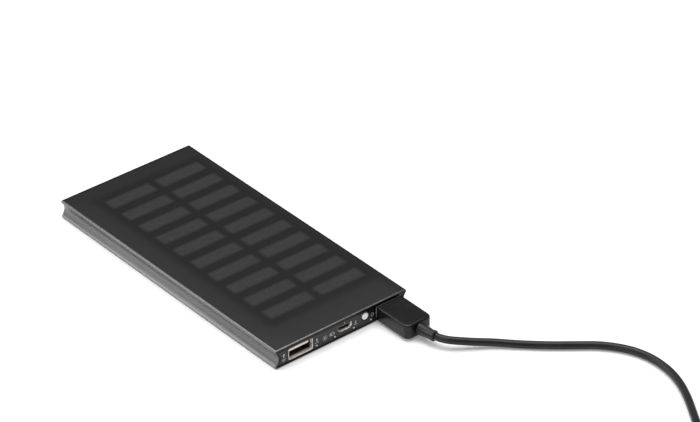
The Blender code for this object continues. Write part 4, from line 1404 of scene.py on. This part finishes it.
def make_tie():
    """A hook and loop strap round the coil, its loose end lapped over the top."""
    inner, outer = COIL_INNER - COIL_PITCH / 2, COIL_RADIUS + COIL_PITCH / 2
    low, high = COIL_LOWER - CORD_RADIUS, COIL_UPPER + CORD_RADIUS
    half = TIE_WIDTH / 2
    inside = math.sqrt(inner**2 - half**2) - FIT_GAP
    outside, under, top = outer + TIE_GAP, low - TIE_GAP, high + TIE_GAP
    thick = TIE_THICKNESS
    near = rounded(inside, outside, under, top, 0.9)
    far = rounded(inside - thick, outside + thick, under - thick, top + thick, 1.2)
    skin = [across_coil(-half, near), across_coil(-half, far)]
    skin += [across_coil(half, far), across_coil(half, near)]
    top += thick
    outline = [(outer - 2.0, top - 0.02), (outer - 2.0, top + 0.42)]
    outline += [(inside + 3.0, top + 0.36), (inside + 2.4, top - 0.02)]
    flap = [across_coil(across, outline) for across in (0.3 - half, half - 0.3)]
    return make_piece("coil_strap", [flap], "tape", ["coil_tie"], "lead", [skin])


# Stage ---------------------------------------------------------------------------------------


def make_floor():
    reach, height = 4.0, -0.0001
    corners = [(x, y, height) for x, y in rectangle(-reach, reach, -reach, reach)]
    mesh = bpy.data.meshes.new("floor")
    mesh.from_pydata(corners, [], [(0, 1, 2, 3)])
    mesh.materials.append(pale_floor())
    floor = bpy.data.objects.new("floor", mesh)
    bpy.context.scene.collection.objects.link(floor)


def aimed(place, aim):
    """Rotation that turns a light or camera at this place towards its aim."""
    return (Vector(aim) - Vector(place)).to_track_quat("-Z", "Y").to_euler()


def add_light(name, place, aim, size, power):
    data = bpy.data.lights.new(name, "AREA")
    data.shape = "RECTANGLE"
    data.size, data.size_y = size
    data.energy = power
    light = bpy.data.objects.new(name, data)
    light.location = place
    light.rotation_euler = aimed(place, aim)
    bpy.context.scene.collection.objects.link(light)


def make_lighting():
    scene = bpy.context.scene
    world = bpy.data.worlds.new("studio")
    world.use_nodes = True
    background = world.node_tree.nodes["Background"]
    background.inputs["Color"].default_value = (0.97, 0.98, 1.0, 1.0)
    background.inputs["Strength"].default_value = 0.26
    scene.world = world
    scene.view_settings.view_transform = "Standard"
    for name, settings in LIGHTS.items():
        add_light(name, *settings)


def make_camera():
    data = bpy.data.cameras.new("camera")
    data.lens = CAMERA_LENS
    data.sensor_width = 36.0
    data.clip_start, data.clip_end = 0.05, 20.0
    camera = bpy.data.objects.new("camera", data)
    camera.location = CAMERA_PLACE
    camera.rotation_euler = aimed(CAMERA_PLACE, CAMERA_AIM)
    bpy.context.scene.collection.objects.link(camera)
    bpy.context.scene.camera = camera


def main():
    make_camera()
    make_floor()
    make_lighting()
    finishes.update(make_finishes())
    carry_over()
    make_case()
    make_cover()
    make_solar_panel()
    make_plates()
    make_marks()
    for side in ("left", "right"):
        make_usb_socket(side)
        make_usb_tongue(side)
    make_micro_socket()
    make_button()
    make_lights()
    make_chips()
    make_inductor()
    make_capacitor()
    make_screws()
    make_batteries()
    make_wires()
    make_cord([*make_plug(), *make_micro_plug(), make_tie()])


finishes = {}


main()
